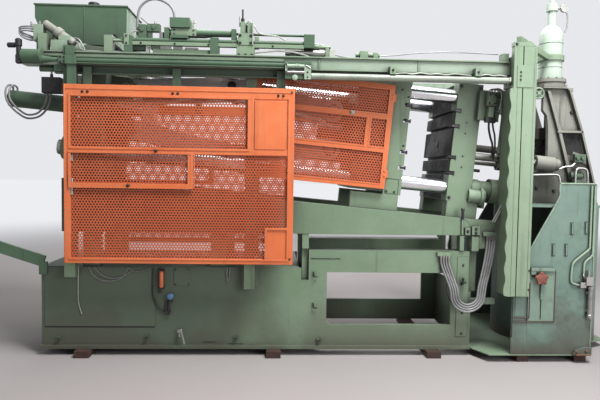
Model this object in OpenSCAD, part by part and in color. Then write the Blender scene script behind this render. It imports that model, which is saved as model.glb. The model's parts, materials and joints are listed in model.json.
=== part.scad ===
// Hot-chamber die casting machine with an inclined clamping unit.
// X runs along the machine from the closing cylinder to the pot, Y from the
// operator's side to the rear, Z up from the floor. Millimetres.

/* [Bed] */
// Length of the welded bed
bed_len = 3250; // [3240:2:3260]
// Depth of the machine between the outer faces of the bed's side plates
bed_depth = 900; // [890:2:920]
// Height of the bed's underside, on its timber packers
bed_low = 50; // [44:1:60]
// Height of the low left part of the bed
bed_step_z = 669; // [650:1:690]
// Height of the right part of the bed
bed_top_z = 807; // [795:1:815]
// Left edge of the high right part of the bed
bed_step_x = 1994; // [1985:1:2010]
// Thickness of the bed's plates
bed_plate = 25; // [20:1:30]
// Width of the slots for the levelling posts
slot_w = 55; // [50:1:60]
// Distance of the chute window's left edge from the high part's left edge
win_gap = 140; // [130:2:150]
// Distance of the chute window's right edge from the bed's right end
win_end = 154; // [140:2:170]
// Sill height of the chute window
win_z0 = 236; // [220:2:260]
// Head height of the chute window
win_z1 = 638; // [600:2:650]
// Corner radius of the chute window
win_r = 40; // [20:1:60]

/* [Clamping unit] */
// Tilt of the clamping unit, nozzle end low
tilt = 5; // [4.6:0.1:5.4]
// Distance from the bed's right end back to the middle of the die space
axis_back = 342; // [334:1:350]
// Height of the clamping axis at the middle of the die space
axis_z = 1665; // [1655:1:1675]
// Distance from the clamping axis down to the top of the guide rails
rail_drop = 577; // [570:1:590]
// Width of each guide rail
rail_w = 110; // [100:1:120]
// Height of the gap between the bed and the clamp frame
level_gap = 123; // [115:1:130]
// Half spacing of the tie bars, up and down
bar_off = 350; // [345:1:355]
// Half spacing of the tie bars, across the machine
bar_y = 330; // [326:1:333]
// Radius of a tie bar
bar_r = 55; // [50:1:57]
// Width of the platens
platen_w = 800; // [794:2:806]
// Height of the platens' plates
platen_h = 910; // [890:2:920]
// Die space between the closed platens
daylight = 359; // [350:1:370]
// Thickness of the fixed platen
fixed_t = 190; // [180:1:200]
// Thickness of the moving platen with its ribbed back
moving_t = 400; // [390:1:410]
// Thickness of the rear platen
rear_t = 180; // [170:1:190]
// Opening stroke of the moving platen
stroke = 300; // [280:2:320]

/* [Toggle] */
// Distance from the rear platen's face to the rear toggle pins
rear_ear = 110; // [106:1:120]
// Distance from the moving platen's back to the front toggle pins
front_ear = 170; // [165:1:180]
// Distance of the toggle pins from the clamping axis
pin_off = 150; // [148:1:160]
// Length of a rear toggle link, and of the front one
link_len = 815; // [813:1:820]
// Distance between the rear and the front toggle pins when closed
toggle_gap = 1615; // [1610:1:1618]
// Radius of the toggle pins
pin_r = 40; // [36:1:44]
// Radius of the links' eyes
eye_r = 85; // [80:1:88]
// Thickness of the inner links and of the moving platen's ears
inner_t = 80; // [70:1:84]
// Thickness of each outer plate and ear
outer_t = 30; // [26:1:34]
// Distance from the middle to the centre plane of a toggle
toggle_y = 185; // [180:1:190]
// Distance along a rear link from its pin to the crosshead link's pin
cross_at = 560; // [550:1:570]
// Length of a crosshead link
cross_len = 430; // [425:1:440]
// Distance of the crosshead's pins from the clamping axis
cross_off = 100; // [96:1:106]

/* [Guide beams] */
// Height of the underside of the guide beams
beam_z = 2132; // [2120:1:2150]
// Height of a guide beam
beam_h = 98; // [90:1:110]
// Width of a guide beam, from front to back
beam_w = 110; // [106:1:116]
// Distance of the beams' outer faces from the bed's sides
beam_out = 130; // [126:1:134]
// Left end of the guide beams
beam_x0 = -80; // [-90:1:-70]
// Drop from the guide beams' underside to the doors' track
track_drop = 60; // [56:1:64]
// Distance from the bed's right end to the end columns
col_gap = 185; // [180:1:195]
// Width of an end column
col_w = 170; // [160:1:180]
// Rise of the end columns above the guide beams
col_rise = 94; // [80:1:110]
// Height of the end columns' feet
col_foot = 508; // [490:1:530]
// Distance of the end columns' outer faces from the bed's sides
col_out = 225; // [215:1:230]

/* [Sliding doors] */
// Left edge of a door when open
door_x0 = 236; // [230:1:242]
// Width of a door
door_w = 1627; // [1620:1:1630]
// Bottom edge of a door
door_z0 = 724; // [715:1:735]
// Drop from the track to a door's top edge
door_gap = 82; // [72:1:92]
// Distance of a door's outer face from the bed's side
door_out = 190; // [188:1:194]
// Thickness of a door
door_t = 40; // [36:1:41]
// Travel of a door
door_travel = 1440; // [1400:5:1445]
// Thickness of the perforated sheets
sheet_t = 2; // [2:0.5:3]

/* [Pot and injection unit] */
// Distance from the bed's right end to the pot housing's side plates
pot_gap = 253; // [245:1:260]
// Width of the pot housing's side plates
pot_w = 607; // [597:1:617]
// Height of the pot housing's side plates
pot_top = 1342; // [1335:1:1360]
// Distance of the pot housing's sides from the bed's sides
pot_out = 170; // [166:1:172]
// Height of the deck over the furnace
deck_z = 1180; // [1170:1:1200]
// Height of the injection frame's top edge
frame_top = 2089; // [2080:1:2100]
// Distance of the injection frame's cheeks from the middle
cheek_y = 300; // [295:1:310]
// Thickness of a cheek
cheek_t = 40; // [36:1:46]
// Distance from the bed's right end to the shot cylinder's axis
shot_gap = 780; // [776:1:786]
// Radius of the shot cylinder's body
shot_r = 94; // [90:1:98]
// Radius of the furnace's round shell
drum_r = 410; // [400:1:420]
// Height of the shoulder of the shot cylinder's gas bottle
shot_top = 2532; // [2520:1:2545]

/* [Hidden] */
$fn = 48;

mid_y = bed_depth / 2;
fit = 0.1;
seat = 0.05;
clear = 5;
bed_slot_z = 577;
end_slot_z = 492;
win_x0 = bed_step_x + win_gap;
win_x1 = bed_len - win_end;
axis_x = bed_len - axis_back;
col_x0 = bed_len + col_gap;
col_top = beam_z + beam_h + col_rise;
pot_x0 = bed_len + pot_gap;
pot_x1 = pot_x0 + pot_w;
shot_x = bed_len + shot_gap;
rail_z = bed_top_z + level_gap;
rail_x1 = col_x0 - 7;
face_fixed = daylight / 2 + 4.5;
face_moving = face_fixed - daylight;
back_moving = face_moving - moving_t;
pin_front = back_moving - front_ear;
pin_rear = pin_front - toggle_gap;
face_rear = pin_rear - rear_ear;
back_rear = face_rear - rear_t;
rail_lead = 68;
rail_x0 = round(axis_x + back_rear * cos(tilt) - rail_drop * sin(tilt)) - rail_lead;
rest_angle = acos(toggle_gap / (2 * link_len));
open_angle = acos((toggle_gap - stroke) / (2 * link_len));
cross_x = pin_rear + cross_at * cos(rest_angle);
cross_z = pin_off + cross_at * sin(rest_angle);
cross_rest = asin((cross_z - cross_off) / cross_len);
head_x = cross_x - cross_len * cos(cross_rest);
in0 = toggle_y - inner_t / 2;
in1 = toggle_y + inner_t / 2;
post_w = 80;
post_y0 = -78;
post_y1 = -5;
cyl_z = beam_z + 27;
cyl_y = -170;
track_z = beam_z - track_drop;
door_z1 = track_z - door_gap;
pipe_z = track_z + 13;
tank_z = beam_z + beam_h + 120;
hatch_y = -pot_out - 8;
x_left = axis_x + (back_rear - 690) * cos(tilt) - 67 * sin(tilt);
x_right = shot_x + drum_r + 10;
grid_pitch = 128;
open_share = 0.61;
hose_routes = [
  [[3066, -15, 772.5], [3066, -15, 735], [3092, -30, 640], [3124, -52, 520],
    [3146, -62, 425], [3176, -64, 402], [3238, -62, 460], [3292, -58, 545],
    [3338, -46, 650], [3362, -14, 880], [3362, -14, 929.5]],
  [[3046, -15, 772.5], [3046, -15, 735], [3074, -30, 635], [3106, -52, 515],
    [3125, -62, 415], [3180, -64, 382], [3253, -62, 448], [3309, -58, 536],
    [3355, -46, 642], [3382, -14, 880], [3382, -14, 929.5]],
  [[3026, -15, 772.5], [3026, -15, 735], [3055, -30, 630], [3087, -52, 511],
    [3104, -62, 405], [3184, -64, 362], [3268, -62, 436], [3326, -58, 527],
    [3373, -46, 635], [3402, -14, 880], [3402, -14, 929.5]],
  [[3006, -15, 772.5], [3006, -15, 735], [3037, -30, 625], [3069, -52, 506],
    [3083, -62, 395], [3187, -64, 342], [3282, -62, 424], [3342, -58, 518],
    [3390, -46, 627], [3419.5, -14, 880], [3419.5, -14, 929.5]]];

function rail_top(x) = axis_z - (x - axis_x) * tan(tilt) - rail_drop / cos(tilt);

// A flat shape drawn in X and Z, given a thickness from y0 to y1.
module xz(y0, y1) {
  translate([0, y1, 0]) rotate([90, 0, 0]) linear_extrude(y1 - y0) children();
}
// A box between two corners.
module box(a, b) {
  translate(a) cube(b - a);
}
// A perforated sheet in X and Z, its holes drawn as a plain grid of openings.
module sheet(x0, x1, z0, z1, y) {
  nx = max(1, floor((x1 - x0) / grid_pitch));
  nz = max(1, round((z1 - z0) / grid_pitch));
  cell = [(x1 - x0) / nx, (z1 - z0) / nz];
  xz(y, y + sheet_t) difference() {
    translate([x0, z0]) square([x1 - x0, z1 - z0]);
    for (i = [0:nx - 1], j = [0:nz - 1])
      translate([x0 + cell[0] * (i + 0.5), z0 + cell[1] * (j + 0.5)])
        square(cell * open_share, center = true);
  }
}
// The tilted frame of the clamping unit, its origin on the clamping axis.
module clamp_unit() {
  translate([axis_x, mid_y, axis_z]) rotate([0, tilt, 0]) children();
}
// The same thing at the front and, mirrored, at the rear.
module both() {
  children();
  translate([0, bed_depth, 0]) mirror([0, 1, 0]) children();
}
module rear() {
  translate([0, bed_depth, 0]) mirror([0, 1, 0]) children();
}
// The same thing on both sides of the clamping unit's middle plane.
module pair() {
  children();
  mirror([0, 1, 0]) children();
}
// A cylinder along Y from y0 to y1.
module rod_y(r, y0, y1) {
  translate([0, y0, 0]) rotate([-90, 0, 0]) cylinder(r = r, h = y1 - y0);
}
// A cylinder along X from x0 to x1.
module rod_x(r, x0, x1) {
  translate([x0, 0, 0]) rotate([0, 90, 0]) cylinder(r = r, h = x1 - x0);
}

// Bed
module bed_sides() color("darkseagreen") both() {
  xz(0, bed_plate) difference() {
    polygon([[0, bed_low], [bed_len, bed_low], [bed_len, end_slot_z], [bed_len - 18, end_slot_z],
      [bed_len - 18, bed_top_z], [bed_step_x, bed_top_z], [bed_step_x, bed_slot_z],
      [bed_step_x - slot_w, bed_slot_z], [bed_step_x - slot_w, bed_step_z], [0, bed_step_z]]);
    difference() {
      translate([win_x0, win_z0]) square([win_x1 - win_x0, win_z1 - win_z0]);
      translate([win_x0, win_z0]) difference() {
        square(win_r);
        translate([win_r, win_r]) circle(r = win_r);
      }
    }
  }
  box([-12, -24, bed_low], [bed_len, 0, bed_low + 26]);
}
module bed_crossing() color("darkseagreen") {
  y0 = bed_plate;
  y1 = bed_depth - bed_plate;
  box([0, y0, bed_low], [bed_plate, y1, bed_step_z]);
  box([bed_len - bed_plate, y0, bed_low], [bed_len, y1, end_slot_z]);
  box([bed_plate, y0, bed_step_z - 20], [bed_step_x - slot_w - 20, y1, bed_step_z]);
  box([1000, y0, bed_low], [1016, y1, bed_step_z - 20]);
  box([bed_step_x + 60, y0, bed_low], [bed_step_x + 76, y1, bed_slot_z]);
}
module bed_girders() color("darkseagreen") both() {
  box([bed_step_x, bed_plate, win_z1 + 8], [bed_len - 18, bed_plate + 100, bed_top_z]);
}
module timber_packers() color("saddlebrown") {
  for (x = [264, 1679, bed_len - 353])
    box([x, -90, 0], [x + 110, bed_depth + 90, bed_low]);
  for (x = [pot_x0 + 57, pot_x1 - 110])
    box([x, -pot_out + 10, 0], [x + 90, bed_depth + pot_out - 10, bed_low]);
}
module levelling_posts() color("seagreen") both() {
  for (p = [[bed_step_x - slot_w + 4, slot_w - 8, bed_slot_z], [bed_len - 12, 58, end_slot_z]]) {
    box([p[0], 34, p[2]], [p[0] + p[1], 90, rail_z]);
    box([p[0] - 2, 4, bed_top_z + 10], [p[0] + p[1] + 2, 34, rail_z]);
  }
  for (x = [300, 1250])
    box([x, 20, bed_step_z], [x + 120, 100, rail_z]);
}

// Clamping unit
module clamp_rails() color("darkseagreen") {
  both() xz(0, rail_w) polygon([[rail_x0, rail_z], [rail_x1, rail_z], [rail_x1, rail_top(rail_x1)],
    [rail_x0, rail_top(rail_x0)]]);
  box([rail_x0, rail_w, rail_z], [rail_x0 + 40, bed_depth - rail_w, rail_top(rail_x0) - 60]);
  box([rail_x1 - 90, rail_w, rail_z], [rail_x1 - 50, bed_depth - rail_w, rail_top(rail_x1) - 20]);
  box([2000, rail_w, rail_z], [2120, bed_depth - rail_w, rail_z + 60]);
}
module bar_holes(r, x0, x1) {
  for (y = [-bar_y, bar_y]) for (z = [-bar_off, bar_off])
    translate([0, y, z]) rod_x(r, x0, x1);
}
module fixed_platen() color("darkseagreen") clamp_unit() difference() {
  union() {
    box([face_fixed, -platen_w / 2, -platen_h / 2], [face_fixed + fixed_t, platen_w / 2, platen_h / 2]);
    pair() box([face_fixed + 10, platen_w / 2 - 110, -rail_drop],
      [face_fixed + fixed_t + 60, platen_w / 2, -platen_h / 2]);
  }
  bar_holes(bar_r, face_fixed - 1, face_fixed + fixed_t + 1);
  rod_x(90, face_fixed - 1, face_fixed + fixed_t + 1);
  for (z = [-240, -120, 120, 240])
    box([face_fixed - 1, -platen_w / 2 - 1, z - 14], [face_fixed + 40, platen_w / 2 + 1, z + 14]);
}
module rear_platen() color("darkseagreen") clamp_unit() difference() {
  union() {
    box([back_rear, -platen_w / 2, -platen_h / 2], [face_rear, platen_w / 2, platen_h / 2 - 35]);
    pair() box([back_rear, platen_w / 2 - 110, seat - rail_drop], [face_rear, platen_w / 2, -platen_h / 2]);
    pair() for (s = [-1, 1]) for (y = [in0 - clear - outer_t, in1 + clear])
      xz(y, y + outer_t) {
        translate([pin_rear, s * pin_off]) circle(r = eye_r);
        translate([face_rear, s * pin_off - eye_r]) square([rear_ear, 2 * eye_r]);
      }
  }
  bar_holes(bar_r, back_rear - 1, face_rear + 1);
  rod_x(40 + fit, back_rear - 1, face_rear + 1);
  pair() for (s = [-1, 1]) translate([pin_rear, 0, s * pin_off])
    rod_y(pin_r, in0 - clear - outer_t - 1, in1 + clear + outer_t + 1);
}
module toggle_pins() color("silver") clamp_unit() pair() for (s = [-1, 1])
  translate([pin_rear, 0, s * pin_off]) rod_y(pin_r, in0 - clear - outer_t - 6, in1 + clear + outer_t + 8);
module tie_bars() color("gainsboro") clamp_unit()
  bar_holes(bar_r, back_rear - 150, face_fixed + fixed_t + 290);
module tie_nuts() color("dimgray") clamp_unit() for (y = [-bar_y, bar_y]) for (z = [-bar_off, bar_off])
  translate([0, y, z]) difference() {
    union() {
      rod_x(82, face_fixed + fixed_t, face_fixed + fixed_t + 60);
      rod_x(74, face_fixed + fixed_t + 60, face_fixed + fixed_t + 150);
      rod_x(95, face_fixed + fixed_t + 150, face_fixed + fixed_t + 250);
      rod_x(90, back_rear - 110, back_rear);
    }
    rod_x(bar_r, back_rear - 151, face_fixed + fixed_t + 291);
  }
module platen_valves() color("darkseagreen") clamp_unit() {
  x1 = face_fixed + fixed_t;
  y1 = -platen_w / 2;
  box([x1 - 34, y1 - 30, 200], [x1, y1, 400]);
  box([x1 - 34, y1 - 42, 180], [x1 + 130, y1 - 30, 405]);
  box([x1 + 130, y1 - 42, 330], [x1 + 186, y1 - 30, 405]);
  box([x1 + 150, y1 - 42, -80], [x1 + 186, y1 - 30, 330]);
  box([x1 + 12, y1 - 82, 290], [x1 + 86, y1 - 42, 392]);
  box([x1 + 26, y1 - 72, 200], [x1 + 76, y1 - 42, 290]);
}
module closing_cylinder() color("darkgreen") clamp_unit() difference() {
  union() {
    rod_x(130, back_rear - 40, back_rear);
    rod_x(67, back_rear - 690, back_rear - 40);
    rod_x(76, back_rear - 90, back_rear - 40);
  }
  rod_x(40 + fit, back_rear - 640, back_rear + 1);
}
module moving_platen() color("darkseagreen") clamp_unit() difference() {
  union() {
    box([face_moving - 140, -platen_w / 2, -platen_h / 2], [face_moving, platen_w / 2, platen_h / 2]);
    box([back_moving, -platen_w / 2 + 12, -platen_h / 2 + 20],
      [face_moving - 140, platen_w / 2 - 12, platen_h / 2 - 20]);
    pair() box([back_moving + 15, platen_w / 2 - 70, -rail_drop + 1],
      [face_moving - 15, platen_w / 2, -platen_h / 2]);
    pair() for (s = [-1, 1]) xz(in0, in1) {
      translate([pin_front, s * pin_off]) circle(r = eye_r);
      translate([pin_front, s * pin_off - eye_r]) square([front_ear, 2 * eye_r]);
    }
  }
  bar_holes(bar_r + fit, back_moving - 1, face_moving + 1);
  for (z = [-240, -120, 120, 240])
    box([face_moving - 40, -platen_w / 2 - 1, z - 14], [face_moving + 1, platen_w / 2 + 1, z + 14]);
}
module ejector_box() color("burlywood") clamp_unit() {
  box([back_moving - 60, -95, -95], [back_moving, 95, 95]);
  rod_x(60, back_moving - 262, back_moving - 60);
}
module guard_frames() color("coral") clamp_unit() pair() difference() {
  union() {
    y0 = -mid_y + 2;
    y1 = y0 + 36;
    xz(y0, y1) difference() {
      translate([-1355, -417]) square([1043, 789]);
      translate([-1355 + 40, -417 + 40]) square([1043 - 80, 789 - 80]);
    }
    for (z = [129, -122]) box([-1315, y0, z - 20], [-352, y1, z + 20]);
    box([-506, y0, -102], [-466, y1, 109]);
    for (z = [-300, 280]) box([-345, y1, z - 30], [face_moving - 115, -platen_w / 2, z + 30]);
  }
}
module guard_meshes() color("sienna") clamp_unit() pair() {
  y0 = -mid_y + 10;
  sheet(-1315, -352, 149, 332, y0);
  sheet(-1315, -506, -102, 109, y0);
  sheet(-466, -352, -102, 109, y0);
  sheet(-1315, -352, -377, -142, y0);
}

// Toggle
module rear_link() {
  pair() difference() {
    xz(in0, in1) {
      circle(r = eye_r);
      translate([link_len, 0]) circle(r = eye_r);
      translate([0, -70]) square([link_len, 140]);
    }
    rod_y(pin_r + fit, in0 - 1, in1 + 1);
  }
  translate([link_len, 0, 0]) rod_y(pin_r, -in1 - clear - outer_t - 8, in1 + clear + outer_t + 8);
  translate([cross_at, 0, 0]) rod_y(28, -in0, in0);
}
module front_link() {
  pair() for (y = [in0 - clear - outer_t, in1 + clear]) difference() {
    xz(y, y + outer_t) {
      circle(r = eye_r);
      translate([link_len, 0]) circle(r = eye_r);
      translate([0, -65]) square([link_len, 130]);
    }
    rod_y(pin_r + fit, y - 1, y + outer_t + 1);
  }
  pair() translate([link_len, 0, 0]) rod_y(pin_r, in1 + clear + outer_t, in1 + clear + outer_t + 14);
  translate([link_len * 0.5, 0, 0]) rod_y(24, -in1 - clear, in1 + clear);
}
module cross_link() {
  pair() difference() {
    xz(70, 100) {
      circle(r = 50);
      translate([-cross_len, 0]) circle(r = 48);
      translate([-cross_len, -40]) square([cross_len, 80]);
    }
    rod_y(28 + fit, 69, 101);
  }
}
module at_rear_pin(s) {
  clamp_unit() mirror([0, 0, s < 0 ? 1 : 0]) translate([pin_rear, 0, pin_off])
    rotate([0, -rest_angle, 0]) children();
}
module rear_link_upper() color("olivedrab") at_rear_pin(1) rear_link();
module rear_link_lower() color("olivedrab") at_rear_pin(-1) rear_link();
module front_link_upper() color("yellowgreen") at_rear_pin(1) translate([link_len, 0, 0])
  rotate([0, 2 * rest_angle, 0]) front_link();
module front_link_lower() color("yellowgreen") at_rear_pin(-1) translate([link_len, 0, 0])
  rotate([0, 2 * rest_angle, 0]) front_link();
module cross_link_upper() color("slategray") at_rear_pin(1) translate([cross_at, 0, 0])
  rotate([0, rest_angle - cross_rest, 0]) cross_link();
module cross_link_lower() color("slategray") at_rear_pin(-1) translate([cross_at, 0, 0])
  rotate([0, rest_angle - cross_rest, 0]) cross_link();
module crosshead() color("gray") clamp_unit() {
  box([head_x - 55, -65, -165], [head_x + 55, 65, 165]);
  rod_x(40, back_rear - 300, head_x - 55);
}

// Guide beams, columns and doors
module guide_beams() color("darkseagreen") both() {
  y0 = -beam_out;
  xx = col_x0 + 10;
  box([beam_x0, y0, beam_z], [xx, y0 + beam_w, beam_z + beam_h]);
  box([150, -96, track_z], [xx, -84, beam_z]);
  box([150, -125, track_z], [xx, -96, track_z + 8]);
}
module beam_posts() color("darkseagreen") both() for (p = [[195, 600], [1507, 518]]) {
  box([p[0], post_y0, p[1]], [p[0] + post_w, post_y1, beam_z]);
  box([p[0] - 20, post_y1, p[1] + 10], [p[0] + post_w + 20, 0, bed_step_z]);
}
module columns() color("darkseagreen") both() {
  box([col_x0, -col_out, col_foot], [col_x0 + 65, -pot_out - 5, col_top]);
  box([col_x0 + 71, -col_out, col_foot], [col_x0 + col_w, -pot_out - 5, col_top]);
  box([col_x0, -pot_out - 5, col_foot], [col_x0 + 12, -20, beam_z - 102]);
  box([col_x0 + 10, -pot_out - 5, beam_z - 92], [col_x0 + col_w - 10, -20, col_top - 60]);
  box([col_x0 + 20, -col_out + 12, col_foot + 20], [col_x0 + col_w - 20, -pot_out - 5, col_top - 20]);
  box([pot_x0 + 10, -pot_out - 5, col_foot + 60], [col_x0 + col_w - 10, -pot_out, 820]);
}
module door_cylinders() color("darkseagreen") both() {
  translate([0, cyl_y, cyl_z]) rod_x(20, 225, 1790);
  box([205, cyl_y - 25, cyl_z - 25], [235, -beam_out, cyl_z + 25]);
  box([1790, cyl_y - 25, track_z - 12], [1978, cyl_y + 25, track_z + 55]);
  box([1790, cyl_y - 25, track_z + 55], [1978, -beam_out, cyl_z + 22]);
}
module guide_pipes() color("gainsboro") both() {
  translate([0, cyl_y, pipe_z]) rod_x(22, 1978, col_x0);
}
module door_frame() {
  y0 = -door_out;
  y1 = y0 + door_t;
  xz(y0, y1) difference() {
    translate([door_x0, door_z0]) square([door_w, door_z1 - door_z0]);
    translate([door_x0 + 45, door_z0 + 38]) square([door_w - 90, door_z1 - door_z0 - 118]);
  }
  zm = door_z0 + 806;
  xd = door_x0 + 1335;
  box([door_x0 + 45, y0, zm - 20], [door_x0 + door_w - 45, y1, zm + 20]);
  box([xd - 40, y0, zm + 20], [xd, y1, door_z1 - 80]);
  box([xd, y0 + 4, zm + 20], [door_x0 + door_w - 45, y0 + 10, door_z1 - 80]);
  box([door_x0 + door_w - 195, y0 + 4, door_z0 + 38], [door_x0 + door_w - 45, y0 + 10, door_z0 + 257]);
  box([door_x0 + 45, y0 - 6, zm - 262], [door_x0 + 900, y0 + 10, zm - 232]);
  box([door_x0 + 870, y0 - 6, zm - 232], [door_x0 + 900, y0 + 10, zm - 20]);
}
module door_mesh() {
  y0 = -door_out + 14;
  zm = door_z0 + 806;
  xd = door_x0 + 1335;
  sheet(door_x0 + 45, xd - 40, zm + 20, door_z1 - 80, y0);
  sheet(door_x0 + 45, door_x0 + door_w - 45, door_z0 + 38, zm - 20, y0);
}
module door_carriage() {
  for (x = [door_x0 + 150, door_x0 + 780, door_x0 + door_w - 100]) {
    box([x - 30, -137, door_z1 - 40], [x + 30, -129, track_z + 50]);
    box([x - 30, -door_out + door_t, door_z1 - 40], [x + 30, -137, door_z1 - 10]);
    translate([x, 0, track_z + 8 + 20]) {
      rod_y(20, -123, -107);
      rod_y(8, -129, -123);
    }
  }
  difference() {
    box([door_x0 + 14, cyl_y - 26, cyl_z - 30], [door_x0 + 94, cyl_y + 26, cyl_z + 30]);
    translate([0, cyl_y, cyl_z]) rod_x(20 + fit, door_x0, door_x0 + 200);
  }
  box([door_x0 + 24, -door_out + 6, door_z1], [door_x0 + 84, -door_out + door_t - 6, cyl_z - 30]);
}
module door_frame_front() color("coral") door_frame();
module door_mesh_front() color("sienna") door_mesh();
module door_carriage_front() color("silver") door_carriage();
module door_frame_rear() color("coral") rear() door_frame();
module door_mesh_rear() color("sienna") rear() door_mesh();
module door_carriage_rear() color("silver") rear() door_carriage();
module column_arm() color("darkseagreen") {
  box([col_x0 - 4, -col_out, col_top], [col_x0 + col_w - 30, -pot_out - 5, col_top + 30]);
  translate([col_x0 + 40, -col_out + 25, col_top + 30])
    rotate([0, 0, atan2(mid_y + col_out - 25, shot_x - col_x0 - 40)]) {
      box([0, -18, 0], [norm([mid_y + col_out - 25, shot_x - col_x0 - 40]) - shot_r - fit, 18, 45]);
      translate([norm([mid_y + col_out - 25, shot_x - col_x0 - 40]), 0, 0]) difference() {
        cylinder(r = shot_r + 14, h = 45);
        translate([0, 0, -1]) cylinder(r = shot_r + fit, h = 47);
      }
    }
}
// Top of the machine
module oil_tank() color("seagreen") xz(mid_y - 230, mid_y + 230)
  polygon([[-40, tank_z], [566, tank_z], [572, tank_z + 305], [-125, tank_z + 305], [-125, tank_z + 198]]);
module tank_stand() color("darkseagreen") for (x = [40, 500]) {
  both() box([x, -beam_out, beam_z + beam_h], [x + 60, -beam_out + 70, tank_z - 50]);
  box([x, -beam_out, tank_z - 50], [x + 60, bed_depth + beam_out, tank_z]);
}
module slide_unit() color("seagreen") {
  z0 = beam_z + beam_h;
  for (x = [640, 1250, 1450]) box([x, -beam_out, z0], [x + 60, -beam_out + beam_w, z0 + 120]);
  for (y = [-105, -45]) translate([0, y, z0 + 95]) rod_x(16, 615, 1991);
  box([1925, -130, z0 + 65], [2002, -20, z0 + 160]);
  translate([0, -75, z0 + 160]) rod_x(22, 920, 1434);
  translate([0, -75, z0 + 160]) rod_x(9, 1434, 1930);
  for (x = [920, 1400]) box([x, -105, z0 + 111], [x + 34, -45, z0 + 190]);
}
module valve_block() color("darkolivegreen") {
  z0 = beam_z + beam_h;
  box([960, -115, z0 + 190], [1104, 60, z0 + 260]);
  box([970, -130, z0 + 111], [1090, -20, z0 + 135]);
  box([1020, -75 - 30, z0 + 182], [1060, -75 + 30, z0 + 190]);
}
// Pot and injection unit
module pot_sides() color("cadetblue") both() {
  xz(-pot_out, -pot_out + 12) polygon([[pot_x0, bed_low + 10], [pot_x1, bed_low + 10], [pot_x1, pot_top],
    [pot_x0 + 347, pot_top], [pot_x0 + 330, pot_top - 12], [pot_x0 + 327, pot_top - 110],
    [pot_x0 + 116, 831], [pot_x0, 831]]);
}
module pot_base() color("darkseagreen") {
  translate([0, 0, bed_low]) linear_extrude(10)
    polygon([[bed_len, 0], [bed_len + 90, -pot_out - 6], [pot_x1 + 6, -pot_out - 6], [pot_x1 + 6, 60],
      [x_right, 220], [x_right, bed_depth - 220], [pot_x1 + 6, bed_depth - 60],
      [pot_x1 + 6, bed_depth + pot_out + 6], [bed_len + 90, bed_depth + pot_out + 6], [bed_len, bed_depth]]);
}
module furnace_shell() color("darkseagreen") {
  translate([shot_x, mid_y, 0]) difference() {
    translate([0, 0, bed_low + 10]) cylinder(r = drum_r, h = deck_z - bed_low - 26);
    translate([0, 0, bed_low + 200]) cylinder(r = drum_r - 80, h = deck_z);
  }
  difference() {
    box([pot_x0 + 130, -pot_out + 12, deck_z - 16], [pot_x1 + 100, bed_depth + pot_out - 12, deck_z]);
    translate([shot_x, mid_y, 0]) cylinder(r = drum_r - 12, h = deck_z + 1);
  }
}
module melting_pot() color("dimgray") translate([shot_x, mid_y, 0]) difference() {
  union() {
    translate([0, 0, deck_z - 560]) cylinder(r = drum_r - 110, h = 560);
    translate([0, 0, deck_z - 16]) cylinder(r = drum_r - 12, h = 16);
  }
  translate([0, 0, deck_z - 530]) cylinder(r = drum_r - 140, h = 700);
}
module gooseneck() color("dimgray") {
  translate([shot_x, mid_y, deck_z - 450]) cylinder(r = 85, h = 900);
  clamp_unit() rod_x(30, face_fixed - 8, face_fixed + fixed_t + 480);
  clamp_unit() rod_x(55, face_fixed + fixed_t + 480, shot_x - axis_x - 40);
}
module injection_cheeks() color("darkkhaki") translate([shot_x, mid_y, 0]) pair()
  xz(-cheek_y - cheek_t / 2, -cheek_y + cheek_t / 2) difference() {
    polygon([[-200, frame_top], [-12, frame_top], [6, frame_top - 18], [116, frame_top - 339],
      [232, deck_z + 150], [250, deck_z], [-310, deck_z], [-270, deck_z + 240], [-155, deck_z + 280],
      [-150, frame_top - 489], [-156, frame_top - 289], [-168, frame_top - 219], [-200, frame_top - 177]]);
    polygon([[-20, frame_top - 359], [95, frame_top - 359], [125, frame_top - 489], [10, frame_top - 489]]);
  }
module injection_head() color("darkkhaki") {
  half = cheek_y + cheek_t / 2;
  box([shot_x - 200, mid_y - half, frame_top], [shot_x - 12, mid_y + half, frame_top + 30]);
  box([shot_x - 12, mid_y - 140, frame_top], [shot_x + 135, mid_y + 140, frame_top + 30]);
  translate([shot_x, mid_y, frame_top + 30]) {
    cylinder(r = 130, h = 25);
    translate([0, 0, 25]) cylinder(r = 122, h = 30);
    translate([0, 0, 55]) cylinder(r = 130, h = 28);
  }
  translate([shot_x, mid_y, deck_z + 450]) cylinder(r = 32, h = frame_top - deck_z - 450);
}
module shot_cylinder() color("darkseagreen") translate([shot_x, mid_y, 0]) {
  z0 = frame_top + 30 + 83;
  rotate_extrude() polygon([[0, z0], [shot_r, z0], [shot_r, shot_top], [shot_r * 0.94, shot_top + 50],
    [shot_r * 0.72, shot_top + 95], [34, shot_top + 122], [34, shot_top + 240], [0, shot_top + 240]]);
  translate([0, 0, shot_top + 240]) cylinder(r = 46, h = 60);
  translate([0, 0, shot_top + 300]) cylinder(r = 18, h = 50);
}
module traverse_bars() color("slategray") clamp_unit() pair() {
  end = shot_x - axis_x;
  translate([0, -cheek_y - cheek_t / 2 - 59, -92]) {
    rod_x(28, face_fixed + fixed_t, end - 182);
    rod_x(58, end - 562, end - 524);
    difference() {
      rod_x(58, end - 271, end - 121);
      rod_x(36, end - 272, end - 187);
    }
    rod_x(45, end - 121, end - 82);
    box([end - 172, 0, -40], [end - 92, 59, 40]);
  }
}
module furnace_hatch() color("cadetblue") {
  box([pot_x0 + 118, hatch_y, 315], [pot_x0 + 315, -pot_out, 697]);
  translate([pot_x0 + 199, 0, 640]) {
    rod_y(12, hatch_y - 30, hatch_y);
    rod_y(38, hatch_y - 42, hatch_y - 30);
  }
}

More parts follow.
